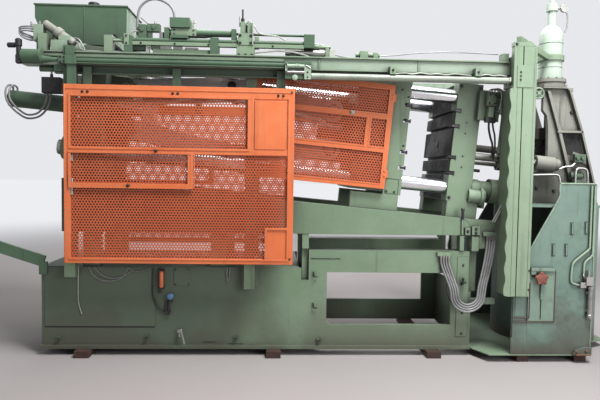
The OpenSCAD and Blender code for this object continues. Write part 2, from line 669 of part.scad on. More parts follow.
// Strut, bulkheads and hoses
module left_strut() color("seagreen") xz(-24, 0) {
  translate([bed_plate, bed_step_z + 30]) rotate(-18) translate([-440, -35]) square([440, 85]);
  translate([-10, bed_step_z - 60]) square([60, 95]);
}
module hose_bracket() color("darkseagreen") {
  box([bed_len, 0, 397], [col_x0 + 9, 60, 437]);
  box([bed_len - 275, -28, bed_top_z - 34], [bed_len - 170, 0, bed_top_z - 7]);
  box([rail_x1 - 103, -26, rail_z], [rail_x1, 0, rail_z + 30]);
  box([rail_x1 - 124, 0, rail_z - 101], [rail_x1, 40, rail_z]);
}
// A smooth path through the points of a route, n steps to each stretch.
function smooth(p, n) = [for (i = [0:len(p) - 2]) for (k = [0:n - 1]) between(p, i, k / n), p[len(p) - 1]];
function between(p, i, t) = let (a = p[max(i - 1, 0)], b = p[i], c = p[i + 1], d = p[min(i + 2, len(p) - 1)])
  0.5 * (2 * b + (c - a) * t + (2 * a - 5 * b + 4 * c - d) * t * t + (3 * b - a - 3 * c + d) * t * t * t);
function heading(p, i) = let (a = p[max(i - 1, 0)], b = p[min(i + 1, len(p) - 1)]) (b - a) / norm(b - a);
// A round tube swept along a path, with square ends.
module tube(path, r, sides = 8) {
  last = len(path) - 1;
  rings = [for (i = [0:last])
    let (d = heading(path, i), side = cross(d, [0, 1, 0]), u = side / norm(side), v = cross(d, u))
    for (k = [0:sides - 1]) path[i] + r * (u * cos(360 * k / sides) + v * sin(360 * k / sides))];
  skin = [for (i = [0:last - 1]) for (k = [0:sides - 1]) let (m = (k + 1) % sides)
    [i * sides + k, (i + 1) * sides + k, (i + 1) * sides + m, i * sides + m]];
  polyhedron(points = rings, faces = concat([[for (k = [0:sides - 1]) k]],
    [[for (k = [0:sides - 1]) last * sides + sides - 1 - k]], skin));
}
// A hose of the set, straight where it leaves its fittings.
module hose(k) color("lightgray") {
  p = hose_routes[k];
  last = len(p) - 1;
  tube(concat([p[0]], smooth([for (i = [1:last - 1]) p[i]], 2), [p[last]]), 8);
}
module hose_1() hose(0);
module hose_2() hose(1);
module hose_3() hose(2);
module hose_4() hose(3);

translate([-(x_left + x_right) / 2, -mid_y, 0]) {
  bed_sides();
  bed_crossing();
  bed_girders();
  timber_packers();
  levelling_posts();
  clamp_rails();
  fixed_platen();
  rear_platen();
  toggle_pins();
  tie_bars();
  tie_nuts();
  platen_valves();
  closing_cylinder();
  moving_platen();
  ejector_box();
  guard_frames();
  guard_meshes();
  rear_link_upper();
  rear_link_lower();
  front_link_upper();
  front_link_lower();
  cross_link_upper();
  cross_link_lower();
  crosshead();
  guide_beams();
  beam_posts();
  columns();
  door_cylinders();
  guide_pipes();
  door_frame_front();
  door_mesh_front();
  door_carriage_front();
  door_frame_rear();
  door_mesh_rear();
  door_carriage_rear();
  column_arm();
  oil_tank();
  tank_stand();
  slide_unit();
  valve_block();
  pot_sides();
  pot_base();
  furnace_shell();
  melting_pot();
  gooseneck();
  injection_cheeks();
  injection_head();
  shot_cylinder();
  traverse_bars();
  furnace_hatch();
  left_strut();
  hose_bracket();
  hose_1();
  hose_2();
  hose_3();
  hose_4();
}
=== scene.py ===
"""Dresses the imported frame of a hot-chamber die casting machine with its finishes and small fittings.

Measures are in millimetres from the bed's front left corner on the floor: X runs along the machine
towards the furnace, Y from the operator's side to the rear, and Z up. The clamping unit has a frame
of its own, tilted with the nozzle end low. Both frames turn these measures into the model's metres.
"""

from __future__ import annotations

import json
import logging
import math
import sys
from dataclasses import dataclass
from enum import Enum

import bmesh
import bpy
from mathutils import Matrix, Vector

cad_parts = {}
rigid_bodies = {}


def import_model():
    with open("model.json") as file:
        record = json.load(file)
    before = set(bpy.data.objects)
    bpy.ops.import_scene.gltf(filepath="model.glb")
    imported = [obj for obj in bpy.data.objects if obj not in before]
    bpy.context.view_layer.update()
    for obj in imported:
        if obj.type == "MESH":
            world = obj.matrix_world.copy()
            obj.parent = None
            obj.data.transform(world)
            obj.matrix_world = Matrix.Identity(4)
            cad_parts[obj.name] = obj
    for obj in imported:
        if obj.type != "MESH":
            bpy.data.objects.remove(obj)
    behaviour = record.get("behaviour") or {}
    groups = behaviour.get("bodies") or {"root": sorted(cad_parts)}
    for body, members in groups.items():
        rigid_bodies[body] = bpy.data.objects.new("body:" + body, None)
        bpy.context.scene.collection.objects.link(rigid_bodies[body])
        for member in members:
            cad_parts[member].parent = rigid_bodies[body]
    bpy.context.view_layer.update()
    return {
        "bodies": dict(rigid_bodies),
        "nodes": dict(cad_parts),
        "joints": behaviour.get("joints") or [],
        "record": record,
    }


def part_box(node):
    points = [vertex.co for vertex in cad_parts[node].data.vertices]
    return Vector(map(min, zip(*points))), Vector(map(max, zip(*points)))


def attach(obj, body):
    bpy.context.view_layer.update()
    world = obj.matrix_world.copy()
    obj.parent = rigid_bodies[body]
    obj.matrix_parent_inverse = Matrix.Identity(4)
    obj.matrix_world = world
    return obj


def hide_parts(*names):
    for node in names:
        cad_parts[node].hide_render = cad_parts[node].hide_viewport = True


LOG = logging.getLogger("scene")
Node = bpy.types.Node
Socket = bpy.types.NodeSocket
Point = tuple[float, float, float]
Flat = tuple[float, float]
Colour = tuple[float, float, float]

MM = 0.001
COAT = "coat_"

# For the scene's own pieces: points that fall together, edges shaded smooth and edges that are rounded.
SAME_POINT = 1e-6
SMOOTH_BELOW = math.radians(40)
ROUND_FROM = math.radians(38)

# The same for the model's nodes, with the angle below which faces count as flat and the radius of the edges.
NODE_WELD = 0.00002
NODE_FLAT_BELOW = math.radians(0.3)
NODE_EDGE = 2.0
NODE_ROUND_FROM = math.radians(50)


class Axis(Enum):
    """The direction that a rod, ring or bolt points in."""

    X = 0
    Y = 1
    Z = 2

    def at(self, along: float, a: float, b: float) -> Vector:
        """A point given by its place along this axis and across it."""
        return Vector(((along, a, b), (a, along, b), (a, b, along))[self.value])


X, Y, Z = Axis


class Side(Enum):
    """The side of the machine that a piece is on."""

    FRONT = "front"
    REAR = "rear"


class Effect(Enum):
    """The shader node groups that the finishes share."""

    MOTTLE = "mottle"
    GRIME = "grime_film"
    STREAKS = "run_marks"
    WEAR = "edge_wear"
    GRAIN = "surface_grain"
    # Painted shade in corners and recesses.
    CORNER_SHADE = "corner_soot"
    # Painted shadow of the doors on the bed's left end.
    DOOR_SHADOW = "sheltered_film"
    SPLASH = "floor_splash"


# The finishes.


class Wires:
    """Adds nodes to a shader tree and joins them."""

    MIX_COLOURS = (6, 7)
    MIX_RESULT = 2

    def __init__(self, tree: bpy.types.NodeTree) -> None:
        """Starts on an existing tree."""
        self.tree = tree

    def node(self, kind: str, **values: object) -> Node:
        """Adds a node.

        Args:
            kind: The node's type, without its ShaderNode prefix.
            **values: Properties of the node.

        Returns:
            The new node.
        """
        made = self.tree.nodes.new("ShaderNode" + kind)
        for name, value in values.items():
            setattr(made, name, value)
        return made

    def put(self, socket: Socket, value: object) -> None:
        """Joins a socket to another one, or gives it a plain value.

        Args:
            socket: The input that gets it.
            value: A socket, a plain value, or None to leave the input as it is.
        """
        if isinstance(value, Socket):
            self.tree.links.new(value, socket)
        elif value is not None:
            socket.default_value = value

    def feed(self, made: Node, *values: object) -> Socket:
        """Fills a node's first inputs.

        Args:
            made: The node.
            *values: What each input gets.

        Returns:
            The node's first output.
        """
        for socket, value in zip(made.inputs, values):
            self.put(socket, value)
        return made.outputs[0]

    def math(self, operation: str, a: object, b: object = None, clamp: bool = False) -> Socket:
        """The result of a sum on one or two values."""
        return self.feed(self.node("Math", operation=operation, use_clamp=clamp), a, b)

    def times(self, a: object, b: object, clamp: bool = False) -> Socket:
        """The product of two values."""
        return self.math("MULTIPLY", a, b, clamp)

    def most(self, a: object, b: object) -> Socket:
        """The larger of two values."""
        return self.math("MAXIMUM", a, b)

    def span(self, value: object, low: object, high: object, start: float = 0.0, end: float = 1.0) -> Socket:
        """Stretches a value from low..high to start..end, with smooth ends."""
        return self.feed(self.node("MapRange", interpolation_type="SMOOTHSTEP"), value, low, high, start, end)

    def mix(self, share: object, *colours: Socket | Colour) -> Socket:
        """A colour between two others.

        Args:
            share: How much of the second colour shows.
            *colours: The two colours.

        Returns:
            The mixed colour.
        """
        made = self.node("Mix", data_type="RGBA")
        self.put(made.inputs[0], share)
        for index, colour in zip(self.MIX_COLOURS, colours):
            self.put(made.inputs[index], colour if isinstance(colour, Socket) else (*colour, 1.0))
        return made.outputs[self.MIX_RESULT]

    def noise(self, scale: object, detail: float = 3.0, stretch: Point | None = None) -> Socket:
        """Cloudy noise in the object's own space.

        Args:
            scale: How fine it is.
            detail: How many finer clouds lie on it.
            stretch: How much finer it is along each axis.

        Returns:
            The noise.
        """
        place = self.node("TexCoord").outputs["Object"]
        if stretch:
            made = self.node("Mapping")
            made.inputs["Scale"].default_value = stretch
            place = self.feed(made, place)
        cloud = self.node("TexNoise")
        for name, value in (("Vector", place), ("Scale", scale), ("Detail", detail)):
            self.put(cloud.inputs[name], value)
        return cloud.outputs["Fac"]

    def parts(self, kind: str, output: str) -> bpy.types.bpy_prop_collection:
        """The X, Y and Z of a vector.

        Args:
            kind: The type of the node that gives it.
            output: Which of the node's outputs it is.

        Returns:
            The three values.
        """
        made = self.node("SeparateXYZ")
        self.put(made.inputs[0], self.node(kind).outputs[output])
        return made.outputs

    def fill(self, made: Node, **inputs: object) -> None:
        """Fills the inputs of a node that have these names."""
        for name, value in inputs.items():
            self.put(made.inputs[name.replace("_", " ").title()], value)

    def effect(self, which: Effect, **inputs: object) -> Socket:
        """Places one of the shared groups.

        Args:
            which: The effect.
            **inputs: Its values.

        Returns:
            The group's result.
        """
        made = self.node("Group", node_tree=bpy.data.node_groups[which.value])
        self.fill(made, **inputs)
        return made.outputs[0]


class Workshop:
    """Builds the node groups that the finishes share, each of them once."""

    def _group(self, which: Effect, output: str = "Mask", **inputs: float) -> tuple[Wires, dict, Socket]:
        """Makes an empty group.

        Args:
            which: The effect that the group is for.
            output: The output's name.
            **inputs: Each input's usual value.

        Returns:
            The group's wires, its inner inputs by name and the socket that takes its result.
        """
        tree = bpy.data.node_groups.new(which.value, "ShaderNodeTree")
        for name, value in inputs.items():
            socket = tree.interface.new_socket(name.title(), in_out="INPUT", socket_type="NodeSocketFloat")
            socket.default_value = value
        tree.interface.new_socket(output, in_out="OUTPUT", socket_type="NodeSocketFloat")
        given = tree.nodes.new("NodeGroupInput")
        taken = tree.nodes.new("NodeGroupOutput")
        return Wires(tree), {name: given.outputs[name.title()] for name in inputs}, taken.inputs[output]

    def mottle(self) -> None:
        """Paint that has faded and darkened in large clouds, with a finer cloud over them."""
        wires, given, result = self._group(Effect.MOTTLE, scale=1.2)
        broad = wires.noise(given["scale"], 4.0)
        fine = wires.noise(wires.times(given["scale"], 9.0))
        both = wires.math("ADD", wires.times(broad, 0.7), wires.times(fine, 0.3))
        wires.put(result, wires.span(both, 0.32, 0.68))

    def grime(self) -> None:
        """Oily dirt that gathers low down and in clouds."""
        wires, given, result = self._group(Effect.GRIME, amount=0.5, low=0.0, high=1.0)
        height = wires.parts("TexCoord", "Object")[2]
        fall = wires.span(height, given["low"], given["high"], 1.0, 0.35)
        cloud = wires.times(wires.span(wires.noise(3.4, 8.0), 0.36, 0.8),
                            wires.span(wires.noise(23.0, 6.0), 0.15, 0.8))
        wires.put(result, wires.times(wires.times(cloud, fall), given["amount"], clamp=True))

    def streaks(self) -> None:
        """Oil that has run down upright faces."""
        wires, given, result = self._group(Effect.STREAKS, amount=0.5)
        runs = wires.span(wires.noise(1.0, 5.0, (16.0, 16.0, 0.9)), 0.56, 0.72)
        tilt = wires.math("ABSOLUTE", wires.parts("NewGeometry", "Normal")[2])
        upright = wires.times(runs, wires.span(tilt, 0.6, 0.2))
        wires.put(result, wires.times(upright, given["amount"], clamp=True))

    def wear(self) -> None:
        """Edges rubbed through the paint, and small chips."""
        wires, given, result = self._group(Effect.WEAR, amount=0.5, radius=0.005)
        soft = wires.node("Bevel", samples=4)
        wires.put(soft.inputs["Radius"], given["radius"])
        match = wires.node("VectorMath", operation="DOT_PRODUCT")
        wires.feed(match, soft.outputs[0], wires.node("NewGeometry").outputs["Normal"])
        edge = wires.span(match.outputs["Value"], 0.985, 0.88)
        rough = wires.span(wires.noise(38.0, 6.0), 0.42, 0.62)
        chips = wires.span(wires.noise(24.0, 2.0), 0.74, 0.76)
        bare = wires.most(wires.times(edge, rough), chips)
        wires.put(result, wires.times(bare, given["amount"], clamp=True))

    def corner_shade(self) -> None:
        """Painted shade where little light reaches: inside the machine and in its corners."""
        wires, given, result = self._group(Effect.CORNER_SHADE, amount=0.5, reach=0.3)
        shade = wires.node("AmbientOcclusion", samples=4)
        wires.put(shade.inputs["Distance"], given["reach"])
        dark = wires.span(shade.outputs["AO"], 0.95, 0.25)
        wires.put(result, wires.times(dark, given["amount"], clamp=True))

    def door_shadow(self) -> None:
        """Painted shadow of the open doors on the bed's left end, with a slanted edge."""
        wires, given, result = self._group(Effect.DOOR_SHADOW, amount=0.5)
        place = wires.parts("NewGeometry", "Position")
        slant = wires.math("SUBTRACT", place[0], wires.times(place[2], 0.41))
        wires.put(result, wires.times(wires.span(slant, -0.42, -0.74), given["amount"], clamp=True))

    def splash(self) -> None:
        """Floor dirt and rust that has splashed up the lowest paint."""
        wires, given, result = self._group(Effect.SPLASH, amount=0.5, height=0.3)
        height = wires.parts("NewGeometry", "Position")[2]
        uneven = wires.times(given["height"], wires.span(wires.noise(2.6, 6.0), 0.3, 0.72, 0.1, 1.9))
        fall = wires.math("SUBTRACT", 1.0, wires.math("DIVIDE", height, uneven), clamp=True)
        wires.put(result, wires.times(fall, given["amount"], clamp=True))

    def grain(self) -> None:
        """The height of brushed paint or of a cast skin."""
        wires, given, result = self._group(Effect.GRAIN, "Height", scale=220.0)
        fine = wires.noise(given["scale"], 2.0)
        broad = wires.noise(wires.times(given["scale"], 0.16))
        wires.put(result, wires.math("ADD", fine, wires.times(broad, 1.4)))

    def build(self) -> None:
        """Builds every group."""
        for make in (self.mottle, self.grime, self.streaks, self.wear, self.corner_shade, self.door_shadow, self.splash,
                     self.grain):
            make()


def surface(name: str) -> tuple[bpy.types.Material, Wires, Node]:
    """Starts a material.

    Args:
        name: The material's name.

    Returns:
        The material, its wires and its Principled shader.
    """
    material = bpy.data.materials.new(name)
    material.use_nodes = True
    return material, Wires(material.node_tree), material.node_tree.nodes["Principled BSDF"]


def coat(made: bpy.types.Object, finish: str) -> None:
    """Gives an object one of the finishes in place of what it has."""
    made.data.materials.clear()
    made.data.materials.append(bpy.data.materials[COAT + finish])


def raise_grain(wires: Wires, shader: Node, height: Socket, depth: float) -> None:
    """Gives a shader a bump.

    Args:
        wires: The wires of the shader's tree.
        shader: The shader.
        height: The height of the surface.
        depth: The bump's depth in metres.
    """
    bump = wires.node("Bump")
    wires.fill(bump, strength=1.0, distance=depth, height=height)
    wires.put(shader.inputs["Normal"], bump.outputs[0])


def darker(colour: Colour, share: float) -> Colour:
    """A share of a colour."""
    return tuple(share * c for c in colour)


@dataclass(frozen=True)
class Paint:
    """Machine paint: faded in places, grimy, run with oil, rubbed through at the edges, and darkened by
    painted shade.
    """

    slot: str
    base: Colour
    faded: Colour
    grime: Colour = (0.035, 0.035, 0.03)
    under: Colour = (0.16, 0.15, 0.13)
    dirt: float = 0.35
    runs: float = 0.35
    wear: float = 0.8
    gloss: float = 0.42
    grain: float = 190.0
    depth: float = 0.0006
    corner_shade_amount: float = 0.85
    door_shadow: float = 0.0
    splash: float = 0.0
    splashed: Colour = (0.062, 0.043, 0.031)

    def make(self, name: str) -> None:
        """Builds the material.

        Args:
            name: Its name.
        """
        _, wires, shader = surface(name)
        cloud = wires.effect(Effect.MOTTLE, scale=1.1)
        dirt = wires.effect(Effect.GRIME, amount=self.dirt, low=0.0, high=1.3)
        runs = wires.effect(Effect.STREAKS, amount=self.runs)
        wear = wires.effect(Effect.WEAR, amount=self.wear, radius=0.006)
        corner_shade = wires.effect(Effect.CORNER_SHADE, amount=self.corner_shade_amount, reach=0.45)
        # soiled holds dirt, oil runs, painted corner shade and the bed's painted door shadow; grime colours
        # them all.
        soiled = wires.most(wires.most(dirt, runs), corner_shade)
        if self.door_shadow:
            soiled = wires.most(soiled, wires.effect(Effect.DOOR_SHADOW, amount=self.door_shadow))
        colour = wires.mix(soiled, wires.mix(cloud, self.base, self.faded), self.grime)
        if self.splash:
            splash = wires.effect(Effect.SPLASH, amount=self.splash, height=0.34)
            colour = wires.mix(splash, colour, self.splashed)
        dull = wires.math("ADD", soiled, wires.times(cloud, 0.3))
        wires.fill(shader, base_color=wires.mix(wear, colour, self.under), metallic=wires.times(wear, 0.55),
                   roughness=wires.span(dull, 0.0, 1.0, self.gloss, self.gloss + 0.3))
        raise_grain(wires, shader, wires.effect(Effect.GRAIN, scale=self.grain), self.depth)


@dataclass(frozen=True)
class Metal:
    """Unpainted metal with an oil film, stains and a fine lay."""

    slot: str
    base: Colour
    stain: Colour
    rough: float = 0.3
    stained: float = 0.5
    lay: Point = (8.0, 60.0, 60.0)
    depth: float = 0.00012

    def make(self, name: str) -> None:
        """Builds the material.

        Args:
            name: Its name.
        """
        _, wires, shader = surface(name)
        cloud = wires.effect(Effect.MOTTLE, scale=3.5)
        dirt = wires.effect(Effect.GRIME, amount=self.stained, low=0.5, high=2.6)
        dull = wires.math("ADD", dirt, wires.times(cloud, 0.4))
        clean = wires.mix(cloud, self.base, darker(self.base, 0.72))
        wires.fill(shader, base_color=wires.mix(dirt, clean, self.stain),
                   roughness=wires.span(dull, 0.0, 1.0, self.rough, min(self.rough + 0.35, 0.9)),
                   metallic=wires.span(dirt, 0.0, 1.0, 1.0, 0.4))
        raise_grain(wires, shader, wires.noise(6.0, stretch=self.lay), self.depth)


@dataclass(frozen=True)
class Plain:
    """Rubber, plastic and flat blacks, some of them painted shade: dull, cloudy and lightly soiled."""

    slot: str
    base: Colour
    soiled: Colour
    rough: float = 0.6
    shine: float = 0.5

    def make(self, name: str) -> None:
        """Builds the material.

        Args:
            name: Its name.
        """
        _, wires, shader = surface(name)
        cloud = wires.effect(Effect.MOTTLE, scale=7.0)
        dirt = wires.effect(Effect.GRIME, amount=0.8, low=0.0, high=2.4)
        clean = wires.mix(cloud, self.base, darker(self.base, 0.7))
        wires.fill(shader, base_color=wires.mix(dirt, clean, self.soiled),
                   roughness=wires.span(cloud, 0.0, 1.0, self.rough - 0.1, self.rough + 0.15))
        shader.inputs["Specular IOR Level"].default_value = self.shine
        raise_grain(wires, shader, wires.effect(Effect.GRAIN, scale=160.0), 0.0005)


@dataclass(frozen=True)
class Timber:
    """Rough sawn timber, dark with oil."""

    slot: str
    base: Colour = (0.07, 0.03, 0.02)
    late: Colour = (0.03, 0.014, 0.01)
    oil: Colour = (0.03, 0.027, 0.025)

    def make(self, name: str) -> None:
        """Builds the material.

        Args:
            name: Its name.
        """
        _, wires, shader = surface(name)
        rings = wires.noise(9.0, 5.0, (5.0, 0.35, 5.0))
        fibre = wires.noise(40.0, 4.0, (4.0, 0.15, 4.0))
        grain = wires.span(wires.math("ADD", wires.times(rings, 0.6), wires.times(fibre, 0.4)), 0.35, 0.65)
        dirt = wires.effect(Effect.GRIME, amount=1.0, low=-0.1, high=0.4)
        wires.fill(shader, base_color=wires.mix(dirt, wires.mix(grain, self.late, self.base), self.oil),
                   roughness=wires.span(grain, 0.0, 1.0, 0.7, 0.9))
        raise_grain(wires, shader, grain, 0.003)


FINISHES: dict[str, Paint | Metal | Plain | Timber] = {
    "machine_green": Paint("machine_green", (0.18, 0.265, 0.165), (0.235, 0.32, 0.215), corner_shade_amount=0.9),
    # Machine green darkened as painted shade for the low bed and clamp rails, with the painted door shadow
    # and real floor splash.
    "shaded_bed_green": Paint("machine_green", (0.15, 0.225, 0.14), (0.195, 0.27, 0.18), corner_shade_amount=0.95,
                       door_shadow=0.62, splash=0.55),
    # Machine green lightened as painted light for the beams high on the machine and the fittings on them.
    "lit_beam_green": Paint("machine_green", (0.26, 0.345, 0.25), (0.33, 0.41, 0.32), corner_shade_amount=0.9),
    "bottle_green": Paint("machine_green", (0.4, 0.51, 0.41), (0.48, 0.58, 0.48), dirt=0.5,
                          runs=0.4, corner_shade_amount=0.6),
    "dark_green": Paint("dark_green", (0.05, 0.1, 0.055), (0.08, 0.145, 0.085), dirt=0.8, wear=0.6),
    "pale_green": Paint("machine_green", (0.24, 0.345, 0.235), (0.31, 0.41, 0.3), dirt=0.8, runs=0.3),
    "teal": Paint("teal", (0.11, 0.185, 0.148), (0.165, 0.25, 0.205), dirt=0.8, runs=0.7,
                  wear=1.0, splash=0.9),
    "pale_teal": Paint("teal", (0.155, 0.24, 0.18), (0.2, 0.285, 0.22), dirt=0.6, runs=0.5, wear=1.0),
    "orange": Paint("orange", (0.66, 0.15, 0.045), (0.72, 0.2, 0.075), (0.16, 0.06, 0.03),
                    (0.34, 0.17, 0.11), 0.45, 0.2, 0.5, 0.38, corner_shade_amount=0.35),
    "orange_mesh": Paint("orange_mesh", (0.47, 0.085, 0.026), (0.56, 0.12, 0.042), (0.12, 0.045, 0.03),
                         (0.3, 0.1, 0.06), 0.4, 0.1, 0.1, 0.5, corner_shade_amount=0.3),
    "bright_bar": Metal("bright_bar", (0.86, 0.87, 0.9), (0.2, 0.17, 0.13), 0.16, 0.2,
                        (60.0, 3.0, 3.0), 0.00004),
    "bare_steel": Metal("bare_steel", (0.46, 0.45, 0.43), (0.05, 0.042, 0.035), 0.3, 0.85),
    "black_steel": Metal("black_steel", (0.06, 0.06, 0.062), (0.03, 0.028, 0.025), 0.42, 0.6),
    # Nearly black: oil-blackened steel, and painted shade for the shadow on the die faces between the
    # platens.
    "die_face": Plain("black_steel", (0.03, 0.028, 0.031), (0.012, 0.011, 0.01), 0.75, shine=0.15),
    "pale_tube": Plain("bright_bar", (0.33, 0.38, 0.31), (0.1, 0.1, 0.08), 0.35),
    "casting_cream": Paint("casting_cream", (0.19, 0.193, 0.165), (0.28, 0.283, 0.245), (0.04, 0.037, 0.03),
                           (0.12, 0.08, 0.055), 1.0, 0.9, 1.0, 0.6, 120.0, 0.0015),
    "timber": Timber("timber"),
    "iron": Paint("iron", (0.055, 0.05, 0.046), (0.1, 0.085, 0.07), (0.02, 0.018, 0.016),
                  (0.19, 0.08, 0.035), 0.8, 0.6, 0.9, 0.7, 110.0, 0.0018),
    "rust": Paint("iron", (0.17, 0.085, 0.055), (0.24, 0.15, 0.1), (0.04, 0.03, 0.025), (0.3, 0.13, 0.06),
                  0.9, 0.4, 0.8, 0.75, 120.0, 0.0015),
    "tube": Plain("tube", (0.27, 0.27, 0.275), (0.06, 0.055, 0.05), 0.38),
    "pale_wire": Plain("tube", (0.47, 0.49, 0.44), (0.16, 0.16, 0.12), 0.5),
    "black_rubber": Plain("black_steel", (0.02, 0.02, 0.022), (0.05, 0.045, 0.04), 0.5),
    # Near black for holes and seams, and painted shade where it fills pockets, slots and open tube ends.
    "hollow": Plain("black_steel", (0.008, 0.008, 0.008), (0.012, 0.011, 0.01), 0.8),
    "blue_cap": Plain("tube", (0.11, 0.22, 0.42), (0.03, 0.05, 0.08), 0.4),
    "red_knob": Plain("orange", (0.22, 0.07, 0.05), (0.07, 0.03, 0.025), 0.6),
}

OWN_FINISH: dict[str, str] = {
    "guide_pipes": "pale_tube", "furnace_hatch": "pale_teal", "shot_cylinder": "bottle_green",
    "guide_beams": "lit_beam_green", "bed_sides": "shaded_bed_green", "bed_crossing": "shaded_bed_green",
    "bed_girders": "shaded_bed_green", "clamp_rails": "shaded_bed_green",
}


# The building of meshes.


def circle(count: int, radius: float = 1.0, turn: float = 0.0) -> list[Flat]:
    """Points spread evenly round a circle, the first one turned by a share of the step between two."""
    angles = [math.tau * (k + turn) / count for k in range(count)]
    return [(radius * math.cos(angle), radius * math.sin(angle)) for angle in angles]


def smooth_route(points: list[Point], steps: int) -> list[Vector]:
    """A smooth curve through the given points.

    Args:
        points: The points that it goes through.
        steps: How many stretches to cut each part into.

    Returns:
        The curve's points.
    """
    given = [Vector(p) for p in points]
    last = len(given) - 1
    if last < 2:
        return given
    found: list[Vector] = []
    for i in range(last):
        a, b, c, d = (given[min(max(k, 0), last)] for k in (i - 1, i, i + 1, i + 2))
        for k in range(steps):
            t = k / steps
            found.append(0.5 * (2 * b + (c - a) * t + (2 * a - 5 * b + 4 * c - d) * t * t
                                + (3 * b - a - 3 * c + d) * t ** 3))
    return found + [given[-1]]


class Piece:
    """One visible piece: a mesh of simple solids, in millimetres in one of the machine's frames."""

    WIRE_SIDES = 8

    def __init__(self, name: str, body: str, finish: str, place: Matrix, edge: float) -> None:
        """Starts an empty piece.

        Args:
            name: Its name in the model.
            body: The body that it rides on.
            finish: The name of its finish.
            place: The frame that its measures are in.
            edge: How far its edges are rounded.
        """
        self.name, self.body, self.finish, self.place, self.edge = name, body, finish, place, edge
        self.points: list[Vector] = []
        self.faces: list[tuple[int, ...]] = []

    def add(self, points: list[Vector], faces: list[tuple[int, ...]]) -> Piece:
        """Adds some faces.

        Args:
            points: Their corners.
            faces: The numbers of each face's corners.

        Returns:
            This piece.
        """
        start = len(self.points)
        self.points += points
        self.faces += [tuple(start + i for i in face) for face in faces]
        return self

    def mirror(self) -> Piece:
        """Adds what it has again on the other side of the clamping unit."""
        return self.add([Vector((p.x, -p.y, p.z)) for p in self.points], self.faces)

    def loft(self, rings: list[list[Vector]], capped: bool = True) -> Piece:
        """Skins a row of rings that have the same number of points.

        Args:
            rings: The rings, in order.
            capped: Whether the first and the last ring are closed.

        Returns:
            This piece.
        """
        count, last = len(rings[0]), len(rings) - 1
        pairs = [(k, (k + 1) % count) for k in range(count)]
        starts = range(0, last * count, count)
        faces = [(i + a, i + b, i + count + b, i + count + a) for i in starts for a, b in pairs]
        if capped:
            faces += [tuple(reversed(range(count))), tuple(range(last * count, (last + 1) * count))]
        return self.add([p for ring in rings for p in ring], faces)

    def plate(self, outline: list[Flat], axis: Axis, start: float, end: float) -> Piece:
        """A flat outline given a thickness along an axis."""
        return self.loft([[axis.at(along, a, b) for a, b in outline] for along in (start, end)])

    def box(self, low: Point, high: Point) -> Piece:
        """A block between two corners."""
        return self.boxes((*low, *high))

    def boxes(self, *corners: tuple[float, float, float, float, float, float]) -> Piece:
        """Several blocks.

        Args:
            *corners: The low and the high corner of each.

        Returns:
            This piece.
        """
        for x0, y0, z0, x1, y1, z1 in corners:
            self.plate([(x0, y0), (x1, y0), (x1, y1), (x0, y1)], Z, z0, z1)
        return self

    def lathe(self, base: Point, axis: Axis, profile: list[Flat], sides: int = 28) -> Piece:
        """A turned shape: the profile has places along the axis from the base, each with its radius."""
        foot = Vector(base)
        return self.loft([[foot + axis.at(x, a, b) for a, b in circle(sides, r)] for x, r in profile])

    def rod(self, base: Point, axis: Axis, length: float, radius: float, sides: int = 24) -> Piece:
        """A round bar."""
        return self.lathe(base, axis, [(0, radius), (length, radius)], sides)

    def tube(self, route: list[Point], radius: float, sides: int = 8, steps: int = 6) -> Piece:
        """A round tube along a smooth route.

        Args:
            route: The points that it goes through.
            radius: Its radius.
            sides: How many sides it has.
            steps: How many stretches to cut each part of the route into.

        Returns:
            This piece.
        """
        path = smooth_route(route, steps)
        side = (path[1] - path[0]).normalized().orthogonal().normalized()
        rings = []
        for i, point in enumerate(path):
            ahead = (path[min(i + 1, len(path) - 1)] - path[max(i - 1, 0)]).normalized()
            side = (side - side.dot(ahead) * ahead).normalized()
            other = ahead.cross(side)
            rings.append([point + radius * (side * a + other * b) for a, b in circle(sides)])
        return self.loft(rings)

    def flat_tube(self, y: float, route: list[Flat], radius: float, sides: int = 8, steps: int = 6) -> Piece:
        """A round tube along a smooth route in an upright plane."""
        return self.tube([(x, y, z) for x, z in route], radius, sides, steps)

    def bar(self, start: Point, end: Point, radius: float, sides: int = 16) -> Piece:
        """A straight round bar between two points."""
        return self.tube([start, end], radius, sides)

    def ring(self, centre: Point, axis: Axis, radius: float, wire: float, sides: int) -> Piece:
        """A round ring of wire or bar.

        Args:
            centre: Its centre.
            axis: The axis that it lies around.
            radius: Its radius.
            wire: The radius of its wire.
            sides: How many sides it has.

        Returns:
            This piece.
        """
        middle = Vector(centre)
        rings = [[middle + axis.at(b, (radius + a) * cos, (radius + a) * sin)
                  for a, b in circle(self.WIRE_SIDES, wire)] for cos, sin in circle(sides)]
        return self.loft(rings + [rings[0]], capped=False)

    def bolt(self, at: Point, axis: Axis, size: float, way: int = -1) -> Piece:
        """A washer and a hexagon head that stand on a face.

        Args:
            at: The middle of the washer.
            axis: The bolt's axis.
            size: The head's radius over its corners.
            way: 1 for a bolt that stands up along the axis, -1 for the other way.

        Returns:
            This piece.
        """
        tall = way * size
        self.lathe(at, axis, [(0, size * 1.25), (tall * 0.2, size * 1.25)], 16)
        head = Vector(at) + axis.at(tall * 0.2, 0, 0)
        return self.lathe(head, axis, [(0, size), (tall * 0.65, size), (tall * 0.8, size * 0.82)], 6)

    def bolts(self, places: list[Point], axis: Axis, size: float, way: int = -1) -> Piece:
        """Several bolts of one size.

        Args:
            places: The middles of their washers.
            axis: Their axis.
            size: The heads' radius over their corners.
            way: 1 for bolts that stand up along the axis, -1 for the other way.

        Returns:
            This piece.
        """
        for at in places:
            self.bolt(at, axis, size, way)
        return self

